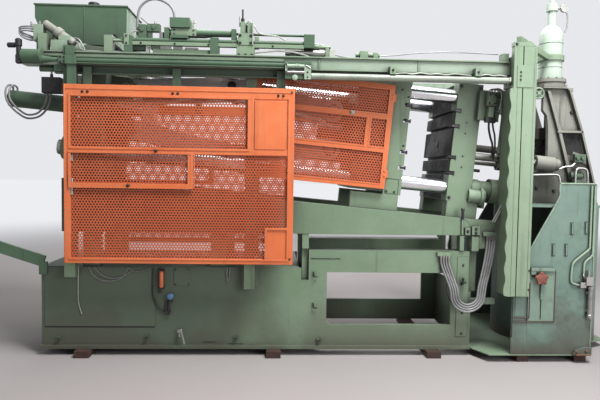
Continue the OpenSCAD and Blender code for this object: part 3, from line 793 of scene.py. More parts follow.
    def done(self, *replaced: str) -> bpy.types.Object:
        """Makes the piece's object, dresses it and puts it on its body.

        Args:
            *replaced: The nodes that it stands for.

        Returns:
            The object.
        """
        mesh = bpy.data.meshes.new(self.name)
        mesh.from_pydata([self.place @ p for p in self.points], [], self.faces)
        shape = bmesh.new()
        shape.from_mesh(mesh)
        bmesh.ops.remove_doubles(shape, verts=shape.verts, dist=SAME_POINT)
        bmesh.ops.recalc_face_normals(shape, faces=shape.faces)
        for face in shape.faces:
            face.smooth = True
        for edge in shape.edges:
            edge.smooth = len(edge.link_faces) == 2 and edge.calc_face_angle() < SMOOTH_BELOW
        shape.to_mesh(mesh)
        shape.free()
        made = bpy.data.objects.new(self.name, mesh)
        bpy.context.scene.collection.objects.link(made)
        if self.edge:
            soften(made, self.edge, ROUND_FROM)
        coat(made, self.finish)
        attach(made, self.body)
        if replaced:
            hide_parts(*replaced)
        LOG.info("%s: %d faces on %s", self.name, len(mesh.polygons), self.body)
        return made


def soften(made: bpy.types.Object, edge: float, angle: float) -> None:
    """Rounds the sharp edges of an object.

    Args:
        made: The object.
        edge: The radius in millimetres.
        angle: The smallest angle between two faces that counts as an edge.
    """
    bevel = made.modifiers.new("edges", "BEVEL")
    bevel.width, bevel.segments, bevel.limit_method, bevel.angle_limit = edge * MM, 2, "ANGLE", angle
    bevel.use_clamp_overlap = True


@dataclass
class Frames:
    """The machine's frames of measurement, and those of its toggle links."""

    axis_x: float = 2908.0
    mid_y: float = 450.0
    axis_z: float = 1665.0
    tilt: float = 5.0
    foot: Point = (-12.0, -24.0, 50.0)

    def __post_init__(self) -> None:
        """Finds the bed's corner in the model."""
        low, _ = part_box("bed_sides")
        self.level = Matrix.Translation(low) @ Matrix.Scale(MM, 4) @ Matrix.Translation(-Vector(self.foot))
        self.clamp = (self.level @ Matrix.Translation((self.axis_x, self.mid_y, self.axis_z))
                      @ Matrix.Rotation(math.radians(self.tilt), 4, "Y"))
        flip = Matrix.Translation((0, 2 * self.mid_y, 0)) @ Matrix.Scale(-1, 4, (0, 1, 0))
        self.sides = {Side.FRONT: self.level, Side.REAR: self.level @ flip}

    def link(self, way: int, u: float, w: float, turn: float) -> Matrix:
        """The frame of an upper (1) or lower (-1) link: its pin at u and w, its X turned outwards."""
        return (self.clamp @ Matrix.Scale(way, 4, (0, 0, 1)) @ Matrix.Translation((u, 0, w))
                @ Matrix.Rotation(math.radians(-turn), 4, "Y"))


@dataclass
class Sheet:
    """A perforated sheet: round holes in staggered rows.

    Each hole has a hexagon of sheet around it, with points 0 to 5 at its corners and 6 to 13 round the hole.
    """

    CORNERS = 6
    RIM = 8
    FACES = ((0, 6, 13), (0, 1, 7, 6), (1, 8, 7), (1, 2, 9, 8), (2, 10, 9), (2, 3, 10), (3, 11, 10),
             (3, 4, 11), (4, 12, 11), (4, 5, 13, 12), (5, 0, 13))

    pitch: float = 21.5
    hole: float = 7.2
    thick: float = 2.0
    lap: float = 6.0

    def punch(self, piece: Piece, x0: float, x1: float, z0: float, z1: float, y: float) -> None:
        """Adds the sheet of one panel, which laps over the bars around it.

        Args:
            piece: The piece that gets it.
            x0: The panel's left edge.
            x1: The panel's right edge.
            z0: The panel's lower edge.
            z1: The panel's upper edge.
            y: The sheet's outer face.
        """
        across, up = self.pitch, self.pitch * math.sqrt(3) / 2
        columns = math.ceil((x1 - x0 + 2 * self.lap) / across) + 1
        rows = math.ceil((z1 - z0 + 2 * self.lap) / up) + 1
        left = (x0 + x1 - (columns - 0.5) * across) / 2
        low = (z0 + z1 - (rows - 1) * up) / 2
        cell = circle(self.CORNERS, across / math.sqrt(3)) + circle(self.RIM, self.hole, 0.5)
        count = len(cell)
        faces = [*self.FACES, *(tuple(count + i for i in reversed(face)) for face in self.FACES)]
        for k in range(self.RIM):
            a, b = self.CORNERS + k, self.CORNERS + (k + 1) % self.RIM
            faces.append((a, b, count + b, count + a))
        for row in range(rows):
            for column in range(columns):
                cx, cz = left + (column + 0.5 * (row % 2)) * across, low + row * up
                corners = [Vector((cx + a, at, cz + b)) for at in (y, y + self.thick) for b, a in cell]
                piece.add(corners, faces)


def framed(piece: Piece, x0: float, x1: float, z0: float, z1: float, y0: float, y1: float,
           wide: float) -> None:
    """Adds a flat frame of four bars around a panel.

    Args:
        piece: The piece that gets it.
        x0: The frame's left edge.
        x1: Its right edge.
        z0: Its lower edge.
        z1: Its upper edge.
        y0: Its near face.
        y1: Its far face.
        wide: The width of its bars.
    """
    low, high = z0 + wide, z1 - wide
    piece.boxes((x0, y0, z0, x1, y1, low), (x0, y0, high, x1, y1, z1), (x0, y0, low, x0 + wide, y1, high),
                (x1 - wide, y0, low, x1, y1, high))


# The machine's parts.


@dataclass
class Assembly:
    """A part of the machine that dresses itself with pieces of its own."""

    frames: Frames

    def piece(self, name: str, finish: str, edge: float = 0.0, side: Side | None = None) -> Piece:
        """Starts a piece that stands still, in the level frame or in its mirror image at the rear."""
        full = f"{name}_{side.value}" if side else name
        return Piece(full, "machine", finish, self.frames.sides[side or Side.FRONT], edge)

    def both(self, name: str, finish: str, edge: float = 0.0) -> list[Piece]:
        """Starts the same piece at the front and at the rear."""
        return [self.piece(name, finish, edge, side) for side in Side]

    def tilted(self, name: str, finish: str, edge: float = 0.0, body: str = "machine") -> Piece:
        """Starts a piece in the clamping unit's frame."""
        return Piece(name, body, finish, self.frames.clamp, edge)


@dataclass
class Door(Assembly):
    """One of the two sliding doors: perforated sheets, lips, hinge, latches and roller pins."""

    side: Side = Side.FRONT
    left: float = 236.0
    right: float = 1863.0
    low: float = 724.0
    high: float = 1990.0
    face: float = -190.0
    middle: float = 1530.0
    stile: float = 1571.0
    hatch_right: float = 1136.0
    hatch_low: float = 1268.0
    knuckles: int = 19
    knuckle: float = 12.8

    def leaf(self, name: str, finish: str, edge: float) -> Piece:
        """Starts a piece that rides on the door."""
        end = self.side.value
        return Piece(f"door_{name}_{end}", f"{end}_door", finish, self.frames.sides[self.side], edge)

    def sheets(self) -> None:
        """Makes the perforated sheets."""
        piece, sheet = self.leaf("sheet", "orange_mesh", 0.0), Sheet()
        inner, y = self.left + 45, self.face + 14
        sheet.punch(piece, inner, self.stile - 40, self.middle + 20, self.high - 80, y)
        sheet.punch(piece, inner, self.right - 45, self.low + 38, self.middle - 20, y)
        piece.done(f"door_mesh_{self.side.value}")

    def lips(self) -> None:
        """Makes the raised angle frames around the panels, and the hinge."""
        piece = self.leaf("lips", "orange", 1.2)
        y0, y1 = self.face - 5, self.face + 0.5
        inner = self.left + 34
        framed(piece, inner, self.stile - 26, self.middle + 8, self.high - 66, y0, y1, 16)
        framed(piece, inner, self.hatch_right + 8, self.hatch_low - 6, self.middle - 4, y0 - 4, y0 + 4, 18)
        framed(piece, self.right - 203, self.right - 30, self.low + 24, self.low + 268, y0, y1, 16)
        piece.boxes((inner, y0, self.low + 26, self.right - 203, y1, self.low + 38),
                    (self.right - 46, y0, self.low + 268, self.right - 34, y1, self.high - 74),
                    (self.stile + 8, y0 + 2, self.middle + 24,
                     self.right - 60, self.face + 5, self.high - 92),
                    (self.left + 4, y0 + 1, self.low + 6, self.left + 12, y1, self.high - 6),
                    (self.left + 12, y0 + 1, self.high - 34, self.right - 12, y1, self.high - 26))
        for k in range(self.knuckles):
            z = self.hatch_low + 4 + self.knuckle * k
            piece.rod((self.hatch_right + 14 + (3.0 if k % 2 else 0.0), y0 - 1, z), Z, 11.5, 5.0, 10)
        piece.done()

    def fittings(self) -> None:
        """Makes the latch knobs, the screws and the bolts of the hangers."""
        piece = self.leaf("fittings", "black_steel", 0.4)
        for x, z in ((883, self.middle), (690, self.hatch_low + 14)):
            piece.lathe((x, self.face - 4, z), Y, [(0, 11), (-6, 11), (-8, 7), (-18, 7), (-20, 12),
                                                   (-28, 11), (-31, 6)], 16)
        carriers = (self.left + 150, self.left + 780, self.right - 100)
        piece.bolts([(x + dx, self.face, self.high - 52) for x in carriers for dx in (-18, 18)], Y, 8)
        piece.bolts([(self.right - 22, self.face, self.high - 28),
                     (self.right - 22, self.face, self.low + 40)], Y, 7)
        piece.done()
        leaves = self.leaf("leaves", "pale_wire", 0.4)
        for z, tall in ((1452, 44), (1300, 30), (1212, 60)):
            leaves.box((self.left + 46, self.face + 6, z), (self.left + 56, self.face + 9, z + tall))
            leaves.rod((self.left + 58, self.face + 7, z), Z, tall, 4, 8)
        leaves.done()

    def build(self) -> None:
        """Dresses the door."""
        self.sheets()
        self.lips()
        self.fittings()


@dataclass
class Guards(Assembly):
    """The tilted guards on the moving platen."""

    left: float = -1315.0
    right: float = -352.0
    face: float = -448.0

    def build(self) -> None:
        """Dresses the guards of both sides."""
        sheets = self.tilted("guard_sheets", "orange_mesh", 0.0, "platen")
        trims = self.tilted("guard_trims", "orange", 1.0, "platen")
        panels = ((self.left, self.right, 149, 332), (self.left, -506, -102, 109),
                  (-466, self.right, -102, 109), (self.left, self.right, -377, -142))
        for x0, x1, z0, z1 in panels:
            Sheet().punch(sheets, x0, x1, z0, z1, self.face + 8)
            framed(trims, x0 - 9, x1 + 9, z0 - 9, z1 + 9, self.face - 3, self.face + 0.5, 10)
        trims.bolts([(-326, self.face, z) for z in (-318, -282, 262, 298)], Y, 7)
        sheets.mirror().done("guard_meshes")
        trims.mirror().done()
        latch = self.tilted("guard_latch", "pale_wire", 1.0, "platen")
        latch.box((-632, self.face - 12, 118), (-602, self.face, 148))
        latch.rod((-617, self.face - 22, 133), Y, 12, 9).done()


@dataclass
class Bed(Assembly):
    """The bed's cover plates, fittings, taps and cables."""

    cover: tuple[float, float, float, float] = (24.0, 838.0, 217.0, 664.0)

    def covers(self) -> None:
        """The cover plates, brackets and bulkheads on the bed's face."""
        x0, x1, z0, z1 = self.cover
        plates = self.piece("bed_covers", "shaded_bed_green", 1.5)
        plates.boxes((x0, -6, z0, x1, 0, z1), (979, -5, 525, 1099, 0, 664), (3139, -5, 145, 3228, 0, 764),
                     (1394, -6, 92, 1500, 0, 98), (3159, -14, 934, 3175, 0, 1060),
                     (3186, -22, 934, 3226, 0, 990), (3237, -26, 936, 3299, 0, 1002))
        plates.plate([(3159, 990), (3226, 990), (3210, 1030), (3175, 1050)], Y, -8, 0)
        plates.boxes((3150, -12, 812, 3184, 22, 926), (3240, -20, 812, 3296, 20, 926)).done()

    def fittings(self) -> None:
        """The bolts, drains, handles and taps, and a strip of painted shadow under the cover plate."""
        x0, x1, z0, _ = self.cover
        dark = self.piece("bed_fittings", "black_steel", 0.5)
        dark.bolts([(x, -5, z) for x in (990, 1088) for z in (538, 650)], Y, 5)
        dark.bolts([(3184, -5, z) for z in (170, 330, 560, 700)], Y, 7)
        drains = self.piece("bed_drains", "dark_green", 0.5)
        for x, z in ((125, 126), (776, 136), (1444, 129), (2076, 113)):
            drains.lathe((x, 0, z), Y, [(0, 17), (-8, 17), (-9, 12), (-26, 12), (-26, 8), (-10, 8)], 20)
            drains.bar((x + 16, -14, z - 4), (x + 16, -14, z + 24), 4, 8)
            dark.rod((x, -8, z), Y, -4, 8)
        drains.done()
        # A black strip of painted shadow under the cover plate's lower edge.
        dark.box((x0, -3, z0 - 9), (x1, 0, z0))
        for z in (619, 380):
            dark.tube([(2032, 0, z + 18), (2032, -16, z + 14), (2034, -17, z - 10), (2052, -17, z - 14),
                       (2062, -17, z - 14)], 5)
        dark.boxes((2010, -2.5, 739, 2236, -0.5, 744), (1203, -3, 96, 1293, 0, 101))
        dark.rod((3167, -7, 1052), Z, 70, 10).lathe((3167, -7, 1122), Z, [(0, 15), (14, 15), (18, 10)], 6)
        dark.bolts([(3206, -22, 964), (3268, -26, 984), (3268, -26, 952)], Y, 9)
        dark.rod((3176, -32, 560), Z, 46, 9).rod((3168, -32, 572), X, 34, 7)
        dark.box((3166, -24, 548), (3186, 0, 566)).done()

    def lubricator(self) -> None:
        """The lubricator with its cap, cables and bracket."""
        unit = self.piece("lubricator_body", "orange", 1.0)
        unit.lathe((892, -34, 520), Z, [(0, 12), (6, 15), (112, 15), (120, 11)], 20).done()
        cap = self.piece("lubricator_cap", "blue_cap", 1.0)
        cap.lathe((958, 0, 452), Y, [(0, 16), (-18, 16), (-20, 24), (-44, 24), (-50, 18), (-52, 8)], 24)
        cap.done()
        rubber = self.piece("bed_cables", "black_rubber")
        rubber.tube([(872, -10, 664), (872, -14, 610), (874, -12, 500), (880, -12, 470)], 9, 10)
        rubber.tube([(826, -12, 662), (824, -14, 560), (826, -14, 450), (862, -14, 372), (914, -16, 322),
                     (938, -16, 330), (944, -14, 384), (950, -12, 428)], 5, 10)
        rubber.tube([(928, -12, 420), (922, -16, 350), (936, -18, 312), (954, -16, 330),
                     (952, -12, 352)], 6, 10)
        rubber.done()
        clips = self.piece("lubricator_bracket", "black_steel", 0.6)
        clips.boxes((872, -20, 508, 912, 0, 520), (872, -20, 640, 912, 0, 652), (868, -8, 508, 876, 0, 652),
                    (944, -12, 400, 972, 0, 430))
        clips.done()

    def leads(self) -> None:
        """The thin leads that hang from under the doors."""
        lead = self.piece("bed_lead", "pale_wire")
        lead.tube([(274, -8, 668), (273, -11, 560), (273, -11, 424), (284, -12, 360), (300, -14, 312)], 4)
        lead.done()
        wires = self.piece("bed_wires", "tube")
        wires.tube([(350, -8, 664), (380, -10, 610), (440, -12, 570), (520, -12, 562), (600, -12, 590),
                    (640, -8, 660)], 4)
        wires.tube([(391, -8, 662), (430, -12, 622), (483, -14, 590), (548, -14, 582), (610, -14, 600),
                    (681, -8, 646)], 3.5)
        wires.tube([(640, -8, 664), (690, -12, 636), (752, -12, 640), (800, -8, 664)], 3)
        wires.tube([(1378, -8, 664), (1376, -12, 610), (1384, -14, 570), (1395, -12, 600),
                    (1398, -8, 664)], 3.5)
        wires.done()

    def tap(self) -> None:
        """The drain tap with its lever."""
        tap = self.piece("bed_tap", "bare_steel", 0.8)
        tap.rod((1028, 0, 192), Y, -30, 11).box((1014, -44, 180), (1042, -26, 204))
        tap.rod((1028, -35, 176), Z, -30, 7)
        tap.plate([(1036, 206), (1046, 206), (1074, 96), (1062, 92)], Y, -50, -46)
        tap.bolt((1040, -46, 200), Y, 6).done()

    def build(self) -> None:
        """Dresses the bed."""
        self.covers()
        self.fittings()
        self.lubricator()
        self.leads()
        self.tap()


@dataclass
class Hoses(Assembly):
    """The four hydraulic hoses between the bed and the clamping frame."""

    radius: float = 8.0
    pitch: float = 18.0
    foot: Point = (3206.0, -62.0, 484.0)
    bend: float = 76.0
    tops: tuple[Flat, ...] = ((3066.0, 3362.0), (3046.0, 3382.0), (3026.0, 3402.0), (3006.0, 3419.5))

    def routes(self) -> list[list[Point]]:
        """The hoses' routes, each of which turns round one foot in an arc of over four diameters.

        Returns:
            The points of each, which start and end as its solid does.
        """
        x, y, z = self.foot
        routes = []
        for number, (left, right) in enumerate(self.tops):
            reach = self.bend + self.pitch * number
            near, far = x - reach - left, right - x - reach
            route = [(left, -15, 772.5), (left, -15, 744), (left + 0.06 * near, -19, 706),
                     (left + 0.3 * near, -32, 650), (left + 0.66 * near, -48, 580),
                     (left + 0.93 * near, y + 3, 524)]
            route += [(x - a, y, z - b) for a, b in circle(16, reach)[:9]]
            route += [(x + reach + 0.09 * far, y + 2, 545), (x + reach + 0.36 * far, y + 12, 630),
                      (x + reach + 0.68 * far, y + 28, 730)]
            routes.append(route + [(x + reach + 0.92 * far, -20, 826), (right, -14, 896),
                                   (right, -14, 929.5)])
        return routes

    def build(self) -> None:
        """Makes the hoses and the fittings on their ends."""
        loose = self.piece("thin_hoses", "black_rubber")
        loose.tube([(3062, -34, 594), (3048, -36, 548), (3050, -38, 502), (3072, -40, 441),
                    (3110, -42, 404)], 4)
        loose.done()
        for number, route in enumerate(self.routes(), 1):
            ends = self.piece(f"hose_ends_{number}", "bare_steel", 0.5)
            for end in (route[0], route[-1]):
                ends.lathe(end, Z, [(0, 11), (-12, 11), (-12, 9.4), (-40, 9.4), (-42, 8.2)], 6)
            collar = ends.done()
            hose = self.piece(f"flexible_hose_{number}", "tube")
            hose.tube(route, self.radius, 14, 10)
            made = hose.done(f"hose_{number}")


@dataclass
class Clamp(Assembly):
    """Platens, tie bars and their fittings."""

    half: float = 400.0
    fixed: float = 184.0
    moving: float = -175.0
    deep: float = 190.0
    back: float = -2650.0
    bar_v: float = 330.0
    bar_w: float = 350.0
    slots: tuple[float, ...] = (-240.0, -120.0, 120.0, 240.0)

    def platens(self) -> None:
        """Screws, holes, clamp bolts and lubrication fittings of the platens."""
        dark = self.tilted("platen_bolts", "black_steel", 0.6)
        edge = -self.half
        for w in self.slots:
            dark.boxes((self.fixed - 8, edge - 3, w - 9, self.fixed + 32, edge + 44, w + 9),
                       (self.fixed + 30, edge - 6, w - 17, self.fixed + 37, edge + 20, w + 17))
            dark.rod((self.fixed - 30, edge + 30, w - 4), X, 24, 6)
        dark.bolts([(self.fixed + 90, edge, w) for w in (155, 72, -103, -188)], Y, 5)
        dark.bolts([(self.fixed + x, edge, w) for x in (20, self.deep - 20) for w in (-430, 430)], Y, 10)
        for x, w in ((self.fixed + self.deep + 6, -200), (self.fixed + self.deep + 6, 210)):
            dark.rod((x, edge + 60, w), X, 60, 12)
        dark.done()
        moving = self.tilted("moving_platen_bolts", "black_steel", 0.6, "platen")
        for w in self.slots:
            moving.boxes((self.moving - 24, edge - 3, w - 9, self.moving + 12, edge + 30, w + 9),
                         (self.moving + 10, edge - 6, w - 14, self.moving + 17, edge + 20, w + 14))
        moving.bolts([(x, edge, w) for x, w in ((self.moving - 74, 352), (self.moving - 20, 300),
                                                (self.moving - 18, -72), (self.moving - 50, -431),
                                                (self.moving - 112, -431))], Y, 7)
        moving.done()
        frame = self.tilted("moving_platen_seams", "dark_green", 0.4, "platen")
        framed(frame, self.moving - 128, self.moving - 22, -448, -330, edge - 2, edge + 1, 4)
        frame.done()
        self.die_faces()

    def die_faces(self) -> None:
        """The ground faces that the dies are bolted to, nearly black: blackened with oil, and painted shade
        for the shadow they lie in.
        """
        bars = (-self.bar_w, self.bar_w)
        faces = (("die_face_fixed", "machine", self.fixed, -1), ("die_face_moving", "platen", self.moving, 1))
        for name, body, face, way in faces:
            piece = self.tilted(name, "die_face", 0.0, body)
            levels = [-450.0, *[w + d for w in self.slots for d in (-16, 16)], 450.0]
            for low, high in zip(levels[::2], levels[1::2]):
                wide = 262 if any(low < w < high for w in bars) else 392
                piece.box((face, -wide, low), (face + way * 2.5, wide, high))
            piece.done()
        holes = self.tilted("die_face_holes", "hollow")
        for v in range(-240, 241, 120):
            for w in (-180, -60, 60, 180):
                if abs(v) + abs(w) > 150:
                    holes.rod((self.fixed - 3.2, v, w), X, 2, 11, 14)
        holes.done()

    def bars(self) -> None:
        """The nuts' clamp bolts and the bright ends of the tie bars."""
        dark = self.tilted("tie_nut_bolts", "black_steel", 0.5)
        bars = [(v, w) for v in (-self.bar_v, self.bar_v) for w in (-self.bar_w, self.bar_w)]
        for v, w in bars:
            for a, b in circle(6):
                dark.bolt((self.back - 110, v + 70 * a, w + 70 * b), X, 7)
                dark.bolt((self.fixed + self.deep + 60, v + 78 * a, w + 78 * b), X, 6, 1)
        dark.done()
        ends = self.tilted("tie_bar_threads", "bare_steel")
        for v, w in bars:
            for x, way, grooves in ((self.fixed + self.deep + 252, 1, 10), (self.back - 112, -1, 9)):
                thread = [(way * 4 * k, 55.6 if k % 2 else 57.2) for k in range(grooves)]
                ends.lathe((x, v, w), X, thread, 32)
        ends.done()

    def valves(self) -> None:
        """The fittings and pipes of the valve group behind the fixed platen."""
        green = self.tilted("valve_covers", "pale_green", 2.0)
        green.boxes((392, -488, 300, 452, -482, 382), (404, -486, 206, 446, -472, 284),
                    (468, -450, 190, 500, -442, 396))
        green.lathe((349, -380, -400), X, [(0, 58), (90, 58), (94, 74), (112, 74), (114, 60), (130, 60)])
        green.box((472, -370, -490), (500, -120, -300)).done()
        dark = self.tilted("valve_bolts", "black_steel", 0.8)
        dark.box((392, -476, 166), (470, -442, 200))
        dark.bolts([(u, -488, w) for u in (402, 442) for w in (310, 372)], Y, 6)
        dark.bolts([(u, -442, w) for u in (536, 548) for w in (-60, 60, 180, 300)], Y, 5)
        dark.tube([(424, -462, 168), (430, -460, 120), (452, -452, 60), (478, -446, 0),
                   (486, -440, -90)], 8, 10)
        dark.tube([(452, -462, 168), (466, -458, 120), (486, -450, 70), (500, -444, -20),
                   (500, -438, -110)], 7, 10)
        dark.done()
        pipes = self.tilted("valve_pipes", "bare_steel")
        for k in range(3):
            pipes.tube([(398 + 22 * k, -462, 392), (398 + 22 * k, -464, 406 + 4 * k),
                        (418 + 20 * k, -466, 418 + 4 * k), (470 + 14 * k, -466, 414),
                        (496 + 14 * k, -462, 392 - 8 * k), (502 + 12 * k, -456, 330 - 20 * k),
                        (496 + 12 * k, -450, 270 - 20 * k)], 7)
        pipes.tube([(476, -466, 250), (500, -464, 268), (508, -462, 300), (500, -460, 340),
                    (470, -460, 348)], 6)
        pipes.done()
        braces = self.piece("platen_pipes", "bare_steel")
        braces.bar((3507, -62, 1262), (3394, -62, 1041), 9).bar((3486, -70, 1262), (3374, -70, 1041), 7)
        braces.done()

    def build(self) -> None:
        """Dresses the clamping unit."""
        self.platens()
        self.bars()
        self.valves()


@dataclass
class Toggle(Assembly):
    """Keeper plates, caps and grease nipples on the toggle's pins."""

    pin_rear: float = -2360.0
    pin_off: float = 150.0
    length: float = 815.0
    turn: float = 7.779
    cap: float = 268.0

    def keeper(self, piece: Piece, x: float, v: float, way: int) -> None:
        """Adds a pin's cap with its screws and nipple.

        Args:
            piece: The piece that gets it.
            x: The pin's place along the link.
            v: Where the pin's end is across the machine.
            way: 1 for the far end of the pin, -1 for the near one.
        """
        piece.lathe((x, v, 0), Y, [(0, 34), (way * 5, 34), (way * 7, 30)])
        piece.bolts([(x + a, v + way * 5, b) for a, b in circle(3, 20)], Y, 5, way)
        piece.rod((x, v + way * 5, 0), Y, way * 12, 4, 8)

    def build(self) -> None:
        """Dresses the pins of every link."""
        lean = math.radians(self.turn)
        for tag, way in (("up", 1), ("low", -1)):
            at_pin = self.frames.link(way, self.pin_rear, self.pin_off, self.turn)
            fixed = Piece(f"rear_pin_caps_{tag}", "machine", "black_steel", at_pin, 0.5)
            knee = Piece(f"knee_pin_caps_{tag}", f"rear_link_{tag}", "black_steel", at_pin, 0.5)
            for side in (-1, 1):
                self.keeper(fixed, 0, side * self.cap, side)
                self.keeper(knee, self.length, side * self.cap, side)
            fixed.done()
            for side in (-1, 1):
                for v in (150.0, 220.0):
                    knee.box((90, side * v - 3, 70), (self.length - 90, side * v + 3, 73))
            knee.done()
            u, w = self.pin_rear + self.length * math.cos(lean), self.pin_off + self.length * math.sin(lean)
            at_knee = self.frames.link(way, u, w, -self.turn)
            front = Piece(f"front_pin_caps_{tag}", f"front_link_{tag}", "black_steel", at_knee, 0.5)
            for side in (-1, 1):
                front.lathe((self.length, side * 260, 0), Y, [(0, 52), (side * 4, 52)])
                front.bolts([(self.length + a, side * 264, b) for a, b in circle(6, 44)], Y, 4, side)
            front.done()


@dataclass
class Beams(Assembly):
    """Guide beams, door cylinders, guide pipes and the end columns."""

    face: float = -130.0
    low: float = 2132.0
    high: float = 2230.0
    cylinder_z: float = 2159.0
    pipe_z: float = 2085.0

    def trims(self) -> None:
        """The flanges, brackets and ties of the beams, and the columns' covers."""
        for piece in self.both("beam_trims", "machine_green", 1.5):
            piece.boxes((-80, self.face - 14, self.high - 10, 3435, self.face, self.high),
                        (1985, self.face - 10, self.low, 3425, self.face, self.low + 8))
            for x in (2544, 3167):
                piece.boxes((x, -194, 2109, x + 44, -146, 2168), (x, -148, 2136, x + 44, self.face, 2168))
            piece.boxes((3459, -229, 2031, 3577, -225, 2190), (3387, -130, 2230, 3434, -60, 2290),
                        (3463, -227, 512, 3466, -225, 2031), (3584, -227, 512, 3587, -225, 2320))
            crest = [(3417 + 6.5 * math.cos(math.tau * z / 158), z) for z in range(512, 2031, 14)]
            piece.plate(crest + [(3438, 2028), (3438, 512)], Y, -226, -206)
            piece.boxes((60, self.face - 18, 2190, 1780, self.face, 2206),
                        (225, self.face - 12, self.low, 1780, self.face, self.low + 10))
            for x in (-66, 2030, 2760):
                piece.box((x, self.face - 6, self.low + 12), (x + 12, self.face, self.high - 12))
            piece.done()

    def rods(self) -> None:
        """Thin dark sheets of painted shade under the beam at the door tracks, the cylinders' tie rods and
        the bolts.
        """
        for piece in self.both("beam_rods", "dark_green"):
            # Painted shade: thin dark sheets for the shaded band under the beam.
            piece.boxes((160, -98, 2081, 3425, -96.3, 2131), (160, -127, 2072.5, 3425, -125.3, 2080))
            for dy, dz in ((-16, 22), (-16, -22)):
                piece.rod((232, -170 + dy, self.cylinder_z + dz), X, 1560, 4.5, 10)
            piece.done()
        for piece in self.both("beam_bolts", "black_steel", 0.5):
            piece.bolts([(3485, -229, z) for z in (2085, 2112, 2140)], Y, 6)
            piece.bolts([(x + 22, -194, 2138) for x in (2544, 3167)], Y, 8)
            piece.bolts([(1950, -208, z) for z in (2072, 2106)], Y, 5)
            piece.bolts([(1798, -206, z) for z in (2106, 2162)], Y, 5)
            piece.bolts([(220, -195, z) for z in (2142, 2176)], Y, 6)
            piece.bolts([(3600, -225, z) for z in (560, 700)], Y, 6).done()

    def cylinders(self) -> None:
        """The door cylinders' glands and couplings, and the cable in the track."""
        for piece in self.both("cylinder_glands", "lit_beam_green", 1.0):
            gland = [(0, 17), (8, 17), (8, 14), (64, 14), (64, 18), (72, 18), (72, 14), (80, 14), (80, 18),
                     (88, 18), (88, 13), (124, 13)]
            piece.lathe((1803, -198, 2148), X, gland, 20)
            piece.boxes((1790, -206, 2097, 1806, -195, 2172), (1926, -208, 2056, 1974, -195, 2154))
            piece.lathe((1860, -195, 2068), Y, [(0, 21), (-8, 21), (-11, 16)], 24).done()
        for piece in self.both("beam_couplings", "bare_steel", 0.5):
            piece.rod((1806, -199, 2105), X, 121, 11, 16).bar((1938, -210, 2154), (1972, -210, 2134), 4, 8)
            piece.rod((3418, -170, self.pipe_z), X, 14, 30).done()
        cable = self.piece("track_cable", "pale_wire")
        rise = (0, 5, 0, 9, 2, 6, 0, 8, 3, 0)
        cable.tube([(2592 + 62 * k, -150 - 3 * (k % 3), 2120 + rise[k]) for k in range(10)], 4.5)
        cable.tube([(3214 + 50 * k, -150 - 3 * (k % 2), 2120 + rise[k + 2]) for k in range(5)], 4.5).done()

    def left_end(self) -> None:
        """The stub, the limit switch, the small cylinder and its valve at the beam's left end."""
        stub = self.piece("beam_stub", "dark_green", 1.5)
        stub.rod((37, -84, 2108), X, 160, 21)
        stub.boxes((150, -130, 2084, 218, -60, 2132), (223, -150, 1990, 262, -131, 2268),
                   (238, -158, 2180, 300, -131, 2262))
        stub.done()
        limit = self.piece("limit_box", "black_steel", 4.0)
        limit.box((-98, 262, 1982), (48, 338, 2106)).rod((-32, 300, 2106), Z, 28, 12).done()
        post = self.piece("limit_rod", "bare_steel", 0.5)
        post.rod((-32, 300, 2110), Z, 108, 8)
        post.boxes((-60, 150, 2205, -10, 320, 2217), (-60, -22, 2190, -10, 162, 2205)).done()
        barrel = self.piece("beam_end_cylinder", "dark_green", 0.8)
        barrel.lathe((-52, -176, 2181), X, [(0, 36), (4, 46), (122, 46), (124, 49), (138, 49),
                                            (140, 40)], 32)
        barrel.lathe((88, -172, 2160), X, [(0, 27), (60, 17), (144, 13)], 20).done()
        valve = self.piece("end_valve", "black_steel", 0.5)
        valve.lathe((-74, -172, 2124), Z, [(0, 14), (10, 22), (60, 22), (64, 17), (120, 17), (124, 23),
                                           (168, 23), (176, 12)], 20)
        valve.lathe((-150, -172, 2252), X, [(0, 12), (6, 18), (50, 18), (56, 10), (80, 10)], 18)
        valve.box((-62, -192, 2160), (-51, -152, 2202)).done()

    def hoses(self) -> None:
        """The pair of hoses on the closing cylinder."""
        pair = self.piece("closing_hoses", "tube")
        pair.tube([(-392, 440, 2012), (-393, 438, 2046), (-402, 404, 2058), (-411, 362, 2026),
                   (-408, 345, 1962), (-386, 342, 1905), (-327, 342, 1840), (-242, 340, 1790),
                   (-148, 336, 1804), (-78, 322, 1866), (-46, 306, 1930), (-38, 300, 1984)], 8, 12)
        pair.tube([(-358, 440, 2010), (-360, 438, 2044), (-374, 404, 2054), (-384, 364, 2022),
                   (-382, 348, 1962), (-362, 344, 1916), (-312, 343, 1862), (-240, 340, 1818),
                   (-160, 336, 1830), (-102, 322, 1884), (-74, 306, 1938), (-66, 300, 1984)], 8, 12)
        pair.done()

    def build(self) -> None:
        """Dresses the beams and columns of both sides."""
        self.trims()
        self.rods()
        self.cylinders()
        self.left_end()
        self.hoses()


